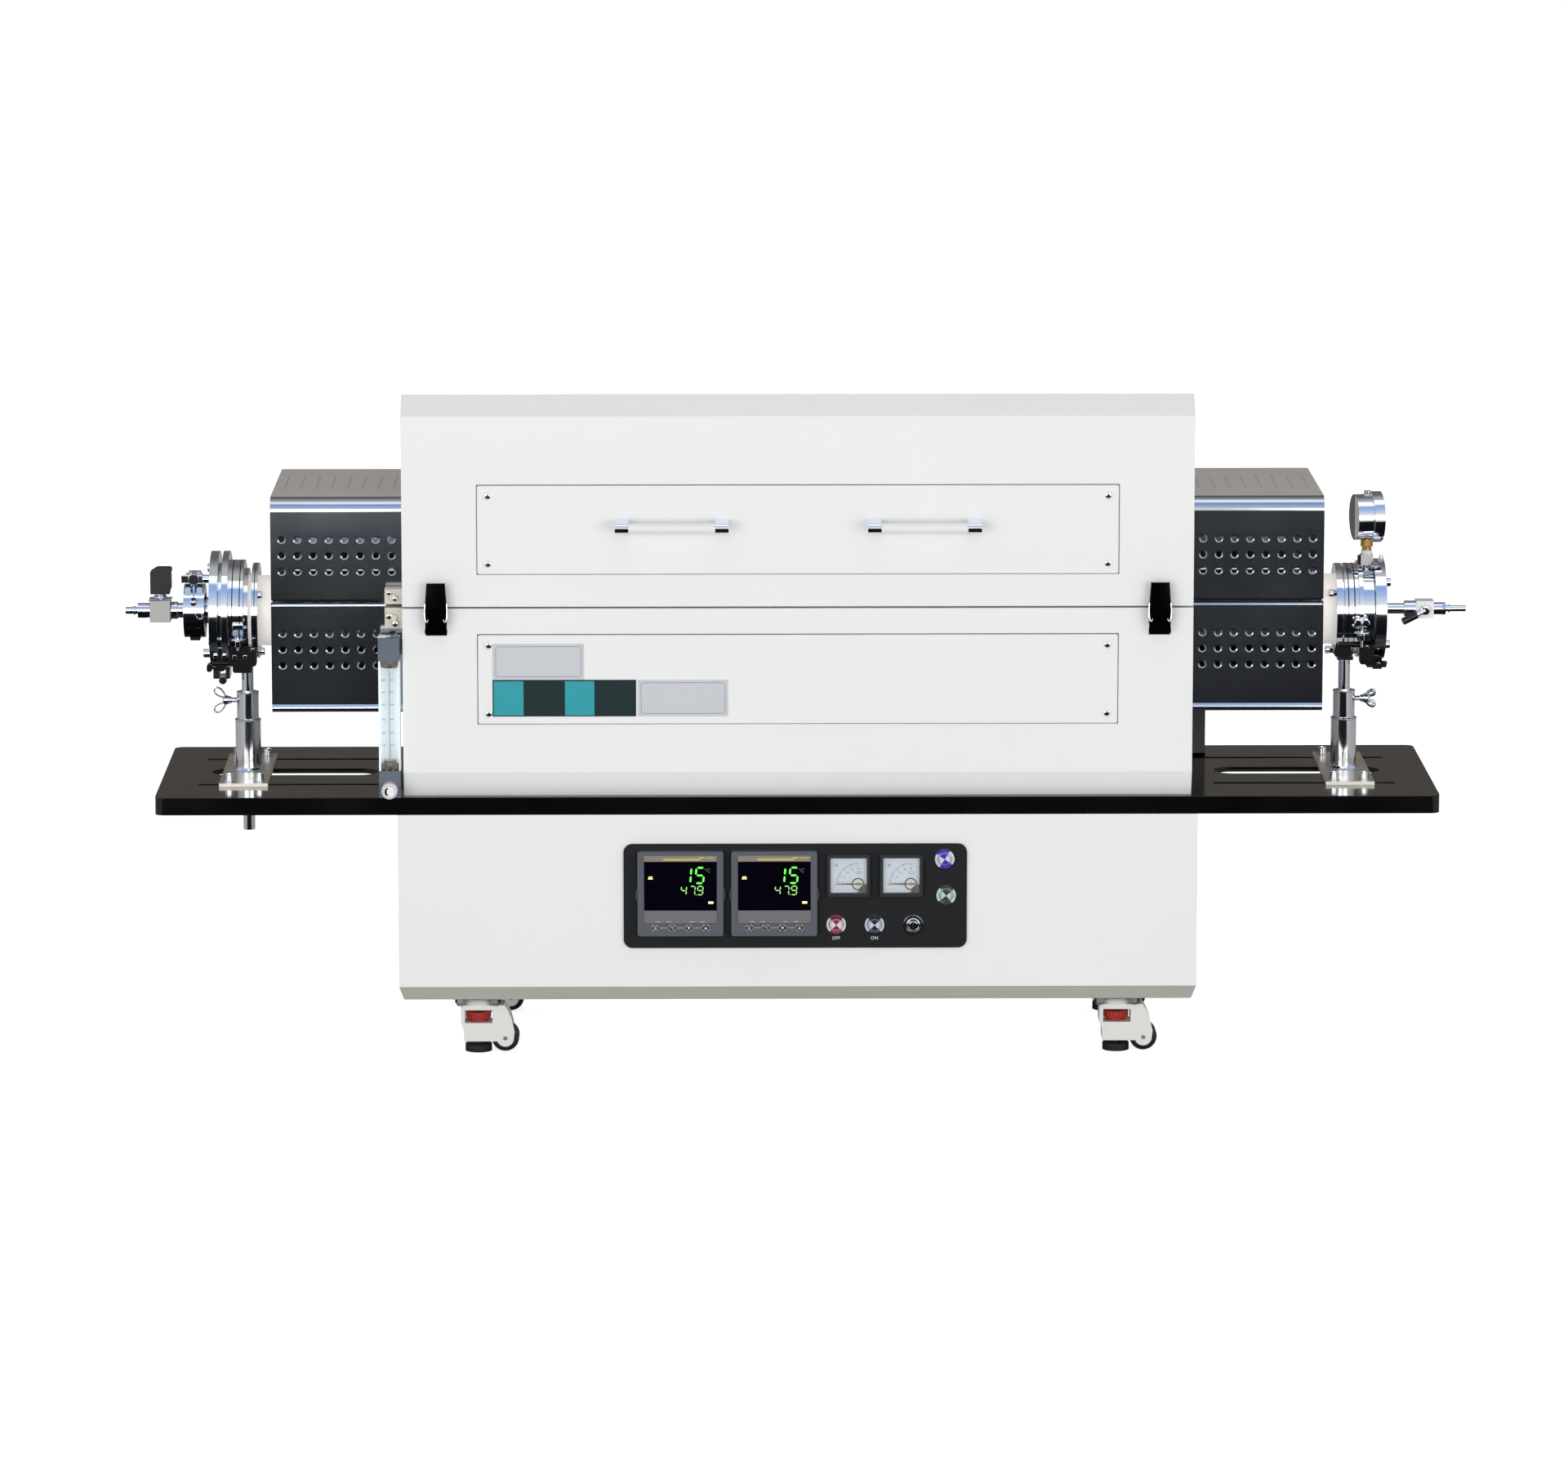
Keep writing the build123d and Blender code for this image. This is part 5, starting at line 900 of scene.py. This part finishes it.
# ---------------------------------------------------------------- right flange and gauge
RIGHT_BOLT = (637, -60)
GAUGE = (646.7, 0)
ring = Kit("right_flange_hardware")
ring.use(chrome)
for x in (632.6, 641.4):
    ring.lathe("y", (x, 479), [(4.0, -57), (4.6, -57.8), (4.6, -64), (3.6, -64.8)], steps=20)
ring.tube([(637, -60, 477), (637, -60, 451)], 1.8, 16)
ring.lathe("z", RIGHT_BOLT, [(8.4, 466.4), (8.8, 466.9), (8.8, 468.2), (8.0, 468.8)], steps=32)
ring.lathe("z", RIGHT_BOLT, [(4.8, 459.2), (5.2, 459.8), (5.2, 465.8), (4.8, 466.4)], flats=6)
ring.box((630.5, 643.5), (-58, -50), (474.5, 481.5))
ring.use(black_oxide)
ring.tube([(611, -52, 453), (640, -52, 453)], 3.4, 16)
ring.plate((608.5, 627.5, 437.0, 447.6, 2.0, 4), "y", -40, -20)
ring.plate((636.0, 652.4, 430, 452, 2.6, 4), "y", -52, -36)
ring.prism([(640, 445), (652.4, 445), (652.4, 430), (668.5, 430), (667.0, 424.4), (646.0, 424.4),
    (638.4, 434)], "y", -38, -24)
ring.use(chrome)
for x in (649.5, 658.5):
    ring.lathe("y", (x, 428.6), [(2.1, -37), (2.1, -38.8), (1.6, -39.2)], steps=18)
ring.plate((641.6, 645.4, 448.5, 452.3, 0.8, 3), "y", -56, -51)
flange_trim(ring, 35.36, (666.1, 1, 4.6, 5.2), (605.9, -1, 4.4, 5.0),
    ((51.3, 622.0), (51.3, 628.8), (51.3, 634.6)), ((0, 0), (1.1, 0.7), (1.1, 1.4), (0, 2.1)))
ring.done("root", "stainless", bevel=0.25)

lever = Kit("right_valve_grip").use(chrome)
lever.lathe("y", (713, TUBE_Z), [(5.2, -12.6), (5.6, -13.2), (5.6, -15.8), (4.6, -16.4)], flats=6)
lever.tube([(712, -14.4, 485.6), (706, -16.4, 482.8), (700, -18.2, 480.0)], 2.6, 16)
lever.use(dark_steel).tube([(703, -17.4, 481.4), (687, -21.6, 474.2)], 4.2, 24)
lever.done("right_valve_lever", "chrome", replaces=["right_valve_lever"], bevel=0.3)

fitting = Kit("gauge_fittings")
fitting.use(brass).lathe("z", GAUGE, [(6.4, 557.4), (7.0, 558.0), (7.0, 564.0), (6.4, 564.6)],
    flats=6)
fitting.lathe("z", GAUGE, [(5.4, 553.0), (5.4, 557.4)], steps=24)
fitting.use(tape_white).lathe("z", GAUGE, [(5.9, 548.4), (6.5, 549.2), (6.2, 551.2), (6.5, 552.6),
    (5.9, 553.4)], steps=32)
fitting.use(satin).plate((639.6, 653.8, 536.6, 548.6, 1.0, 3), "y", -7.1, 7.1)
fitting.use(black_oxide).plate((636.6, 640.0, 537.6, 547.2, 0.8, 3), "y", -4.5, 4.5)
fitting.use(chrome).tube([(653.5, -2, 540.5), (659.0, -3, 540.5)], 1.6, 12)
fitting.lathe("x", (-3, 540.5), [(3.1, 658.4), (3.4, 659.0), (3.0, 661.6)], steps=20)
loop_wing(fitting, (660.5, -3, 541), 1, radians(62), 7, 0.8)
loop_wing(fitting, (660.5, -3, 540), 1, radians(-40), 7, 0.8)
fitting.use(polished).lathe("z", GAUGE, [(4.6, 532.6), (4.6, 536.8)], steps=24)
fitting.done("root", "stainless", bevel=0.2)

repaint("gauge_case", [(gauge_back, lambda x, y, z: (x < 632.6 and z > 562 and hypot(y,
    z - 591) < 25.5))])

# ---------------------------------------------------------------- stands
STAND_X, SCREW = 623, (0, 383)
for name, side, spread, reach, bar in (("left", -1, 40, 16.5, 1.1), ("right", 1, 28, 11.5, 1.9)):
    x = side * STAND_X
    stand = Kit(f"stand_fittings_{name}")
    for bx, by in product((-17, 17), (-82, 82)):
        stand.use(satin).lathe("z", (x + bx, by), [(6.6, 304.0), (6.6, 304.9), (6.2, 305.1)],
            steps=32)
        cap_screw(stand, "z", (x + bx, by), 305.0, 1, 5.2, 7.6)
    stand.use(chrome).lathe("z", (x, 0), [(14.4, 359.6), (15.0, 360.2), (15.0, 361.2),
        (13.4, 362.4), (12.6, 362.4), (12.6, 359.6)], cyclic=True, steps=56)
    stand.lathe("z", (x, 0), [(14.4, 304.0), (17.0, 304.0), (16.2, 305.2), (14.9, 306.6),
        (14.4, 306.6)], cyclic=True, steps=56)
    stand.lathe("z", (x, 0), [(12.4, 391.0), (12.9, 391.5), (12.9, 392.5), (12.4, 393.0)],
        cyclic=True, steps=48)
    stand.done("root", "stainless")
    screw = Kit(f"wing_screw_wire_{name}")
    tip = x + side * 7.6
    screw.use(chrome).lathe("x", SCREW, [(2.6, tip), (2.9, tip + side * 0.6), (2.9, x + side * 20)],
        steps=20)
    screw.lathe("x", SCREW, [(2.9, x + side * 18), (4.2, x + side * 19.4), (4.2, x + side * 21.5),
        (5.4, x + side * 23), (5.0, x + side * 27), (3.2, x + side * 28.4)], steps=28)
    for lean in (1, -1):
        loop_wing(screw, (x + side * 24.5, 0, 383 + lean * 2.4), side, lean * radians(spread),
            reach, bar)
    screw.done(f"wing_screw_{name}", "stainless", replaces=[f"wing_screw_{name}"])
repaint("flange_stands", [(foot_steel, lambda x, y, z: z < 304.6)])

lips = Kit("shelf_slot_lips").use(nylon_black)
for side in (-1, 1):
    low, high = sorted((side * 476, side * 664))
    inner, outer = rounded(low, high, -21.5, 21.5, 21.4, 12), rounded(low - 1.6, high + 1.6, -23.1,
        23.1, 23.0, 12)
    lips.loft([[(x, y, z) for x, y in ring] for ring, z in ((inner, 297), (inner, 294.2),
        (outer, 294.2), (outer, 297))], cyclic=True)
lips.done("root", "shelf_paint")

# ---------------------------------------------------------------- flow meter
METER, KNOB = (-455, -160), (-455, 311)
MARKS = (-167.0, -166.7)
# The meter's back plate gets the glowing pale finish, painted light on its shaded inside.
repaint("flow_meter_body", [(slate_acrylic, lambda x, y, z: z > 454.5 and x < -442 and y < -147),
    (pale_plate_painted_glow, lambda x, y, z: 331.5 < z < 454.5 and y > -151.5),
    (nut_steel, lambda x, y, z: y < -151 and (331 < z < 338.2 or 447.8 < z < 455.2)),
    (slate_acrylic, lambda x, y, z: z < 331.2 and x < -442 and y < -147)])
meter = Kit("flow_meter_trim")
meter.use(nut_steel)
for low, high in ((330.9, 338.6), (446.6, 455.0)):
    meter.lathe("z", METER, [(9.6, low), (10.2, low + 0.8), (10.2, high - 0.8), (9.6, high)],
        flats=6, start=pi / 6)
meter.lathe("z", METER, [(6.9, 338.4), (6.9, 341.6), (6.6, 342)], steps=28)
meter.use(print_grey)
meter.box((-455.3, -454.7), MARKS, (343, 444))
for number, z in enumerate((433, 419, 405, 388.5, 373.5, 359.5)):
    meter.box((-454.8, -449.8), MARKS, (z, z + 0.6))
    meter.words(str(60 - 10 * number), (-461.6, -166.9, z), 4.2, 0.1)
for step in range(12):
    meter.box((-454.8, -453.2), MARKS, (345.5 + step * 1.15, 345.7 + step * 1.15))
# The side walls take the same glowing finish, painted light.
meter.use(pale_plate_painted_glow)
for x in ((-466.8, -464.6), (-444.4, -443.2)):
    meter.box(x, (-171.6, -150.4), (331.3, 454.8))
meter.use(black_oxide).plate((-466.2, -443.8, -171.4, -148.6, 0.8, 3), "z", 480.6, 481.3)
meter.use(chrome).lathe("z", METER, [(3.2, 481.0), (3.2, 481.9), (2.6, 482.2)], steps=24)
meter.done("root", "meter_body")
knob = Kit("flow_meter_knob_face")
knob.use(valve_white).lathe("y", KNOB, [(8.2, -176), (8.6, -176.6), (8.6, -189.2), (7.6, -190.6),
    (0.3, -190.9)], steps=44)
for step in range(20):
    knob.lathe("y", on_circle(KNOB, 8.55, step * 18), [(0.42, -178), (0.42, -188.6)], steps=8)
knob.use(label_line).loft([[on_axis("y", *on_circle(KNOB, r, 7.5 * k), y) for k in range(48)] for r,
    y in ((7.0, -190.6), (7.0, -190.98), (6.6, -190.98), (6.6, -190.6))], cyclic=True)
crescent = [on_circle(KNOB, 5.2, a) for a in range(118, 243, 6)]
crescent += [(-453.6 + 4.3 * cos(radians(a)), KNOB[1] + 4.6 * sin(radians(a)))
    for a in range(236, 120, -6)]
knob.use(black_oxide).prism(crescent, "y", -191.1, -190.8)
knob.done("flow_meter_knob", "black_grip")
collar = Kit("flow_meter_knob_collar").use(clear_plastic)
collar.lathe("y", KNOB, [(9.2, -172), (9.6, -172.4), (9.6, -174.6), (9.0, -175.2), (8.0, -175.2),
    (8.0, -172)], cyclic=True, steps=44)
collar.done("root", "meter_body")

# ---------------------------------------------------------------- casters
CASTER_X, CASTER_Y = 360, 110
WHEEL_X, WHEEL_Z = 30.5, 16.5
for (row, way_y), (side, way_x) in product((("front", -1), ("rear", 1)),
        (("left", -1), ("right", 1))):
    name, cx, cy = f"{row}_{side}", way_x * CASTER_X, way_y * CASTER_Y
    wheel_axis = (cx + WHEEL_X, WHEEL_Z)
    shell = Kit(f"caster_shell_{name}").use(nylon_white)
    shell.prism([(cx + x, z) for x, z in [(-17.6, 54.6), (-19.4, 51), (-19.4, 34.5), (-16.4, 26),
        (-15.8, 13.6), (-14.8, 12.7), (20.5, 12.7)] + arc((WHEEL_X, WHEEL_Z), 9.8, 203, 346,
        14) + [(41.0, 24), (37.4, 39.5), (33.6, 48.5), (29.5, 54.6)]], "y", cy - 14.9, cy + 14.9)
    for opening in (Kit("caster_opening").lathe("y", wheel_axis,
            [(16.6, cy - 10.8), (16.6, cy + 10.8)], steps=48), Kit("caster_window").box((cx - 14.9,
            cx + 16.0), (cy - 16, cy + 16), (34.0, 48.6)), Kit("caster_bore").lathe("z", (cx, cy),
            [(4.9, 12), (4.9, 56)], steps=24)):
        shell.cut(opening)
    shell.use(nylon_white).lathe("z", (cx, cy), [(4.9, 54.6), (17.4, 54.6), (16.4, 58.0),
        (14.0, 60.6), (4.9, 60.6)], cyclic=True, steps=56)
    shell.use(nylon_black).lathe("z", (cx, cy), [(4.9, 60.6), (15.2, 60.6), (15.2, 63.6),
        (4.9, 63.6)], cyclic=True, steps=56)
    teeth = [on_circle((cx, cy), radius, 22.5 * tooth + turn) for tooth in range(16) for radius,
        turn in ((12.4, -7), (14.2, -4.4), (14.2, 4.4), (12.4, 7))]
    hole = arc((cx, cy), 4.9, -7, 353 - 360 / 64, 63)
    shell.use(dial_red)
    shell.loft([[(x, y, z) for x, y in ring] for ring, z in ((hole, 38.0), (teeth, 38.0),
        (teeth, 45.4), (hole, 45.4))], cyclic=True)
    shell.lathe("z", (cx, cy), [(4.9, 34.4), (10.6, 34.4), (10.6, 38.2), (4.9, 38.2)], cyclic=True,
        steps=40)
    shell.use(zinc).lathe("y", wheel_axis, [(2.4, cy - 15.6), (2.4, cy + 15.6)], steps=24)
    shell.done(f"caster_housing_{name}", "white_nylon", replaces=[f"caster_housing_{name}"],
        bevel=0.5)
    wheel = Kit(f"caster_wheel_face_{name}")
    for way in (-1, 1):
        edge = cy + way * 10.0
        wheel.use(nylon_black).lathe("y", wheel_axis, [(14.6, edge - way * 0.2),
            (12.6, edge + way * 0.5), (10.8, edge + way * 0.5), (10.2, edge + way * 0.1)],
            cyclic=True, steps=48)
        wheel.use(zinc).lathe("y", wheel_axis, [(4.2, edge - way * 0.1), (4.2, edge + way * 0.7),
            (3.2, edge + way * 1.0)], steps=24)
    wheel.done(f"caster_wheel_{name}", "black_nylon")

bolts = Kit("caster_bolts").use(bolt_zinc)
for cx, cy, bx, by in product((-CASTER_X, CASTER_X), (-CASTER_Y, CASTER_Y), (-20, 20), (-20, 20)):
    bolts.lathe("z", (cx + bx, cy + by), [(4.7, 64.0), (4.7, 62.6), (3.9, 55.8), (3.4, 55.4)],
        steps=24)
bolts.done("root", "zinc_plate")
# Painted shade: the downward front bevel along the cabinet's bottom gets the darker grey.
repaint("base_cabinet", [(cabinet_bevel_painted_shade, lambda x, y, z: z < 83.5 and y < -151.5)])

# ---------------------------------------------------------------- camera, floor and light
camera = bpy.data.objects.new("camera", bpy.data.cameras.new("camera"))
scene.collection.objects.link(camera)
camera.location = (-96.3 * MM, -8239.3 * MM, 1771.0 * MM)
camera.rotation_euler = (radians(80.2), 0, radians(-0.573))
camera.data.lens = 168.75
camera.data.sensor_width = 36
camera.data.clip_end = 200
scene.camera = camera

floor_material = material("floor", (246, 246, 246), 0, 0.9, 0.02, 0.002, specular=0.0, emission=1.0)
floor_tree = floor_material.node_tree
floor_path = add_node(floor_tree, "LightPath")
floor_lift = add_node(floor_tree, "Math", {1: 0.85}, operation="MULTIPLY")
join(floor_tree, (floor_path, "Is Camera Ray", floor_lift, 0),
    (floor_lift, "Value", floor_tree.nodes["Principled BSDF"], "Emission Strength"))


def stage_plane(name, low, high, height, finish):
    mesh = bpy.data.meshes.new(name)
    mesh.from_pydata([(low[0], low[1], height), (high[0], low[1], height),
        (high[0], high[1], height), (low[0], high[1], height)], [], [(0, 1, 2, 3)])
    plane = bpy.data.objects.new(name, mesh)
    plane.data.materials.append(finish)
    scene.collection.objects.link(plane)
    return plane


stage_plane("floor", (-30, -30), (30, 40), 0, floor_material)
flag_material = material("flag", (30, 31, 34), roughness=0.9, specular=0.0)
flag = stage_plane("flag", (-1.5, -9), (1.5, 0.3), 0.002, flag_material)
flag.visible_camera = False
flag.visible_diffuse = False
flag.visible_shadow = False

world = bpy.data.worlds.new("studio")
scene.world = world
world.use_nodes = True
tree = world.node_tree
sky = tree.nodes["Background"]
sky.inputs["Strength"].default_value = 1.0
direction = add_node(tree, "TexCoord")
split = add_node(tree, "SeparateXYZ")
path = add_node(tree, "LightPath")
mirrored = colour_ramp(tree, (0.0, grey(0.9)), (0.3, grey(0.95)), (0.6, (0.50, 0.66, 0.95, 1)),
    (0.85, (0.30, 0.48, 0.85, 1)), (0.97, (0.55, 0.55, 0.53, 1)))
shade = colour_ramp(tree, (0.0, grey(0.56)), (1.0, grey(0.26)))
plain = add_node(tree, "Mix", {"B": grey(1)}, data_type="RGBA")
rear = add_node(tree, "MapRange", {"From Min": 0.1, "From Max": 0.6})
backdrop = add_node(tree, "Mix", {"B": (0.16, 0.145, 0.13, 1)}, data_type="RGBA")
seen = add_node(tree, "Mix", data_type="RGBA")
join(tree, (direction, "Generated", split, "Vector"), (split, "Z", mirrored, "Fac"),
    (split, "Z", shade, "Fac"), (shade, "Color", plain, "A"), (path, "Is Camera Ray", plain,
    "Factor"), (path, "Is Glossy Ray", seen, "Factor"), (plain, "Result", seen, "A"),
    (split, "Y", rear, "Value"), (rear, "Result", backdrop, "Factor"),
    (mirrored, "Color", backdrop, "A"), (backdrop, "Result", seen, "B"),
    (seen, "Result", sky, "Color"))


def softbox(name, place, target, size, power):
    light = bpy.data.lights.new(name, "AREA")
    light.shape = "RECTANGLE"
    light.size, light.size_y = size
    light.energy = power
    lamp = bpy.data.objects.new(name, light)
    lamp.location = place
    lamp.rotation_euler = (Vector(target) - Vector(place)).to_track_quat("-Z", "Y").to_euler()
    scene.collection.objects.link(lamp)


softbox("key", (-2.2, -5.4, 1.15), (0, 0, 0.4), (3.2, 2.0), 87)
softbox("fill", (2.4, -5.2, 1.0), (0, 0, 0.4), (3.0, 1.8), 70)
softbox("top", (0.4, -1.2, 4.2), (0, 0, 0.3), (3.0, 1.6), 14)
scene.view_settings.view_transform = "Standard"
scene.view_settings.look = "None"
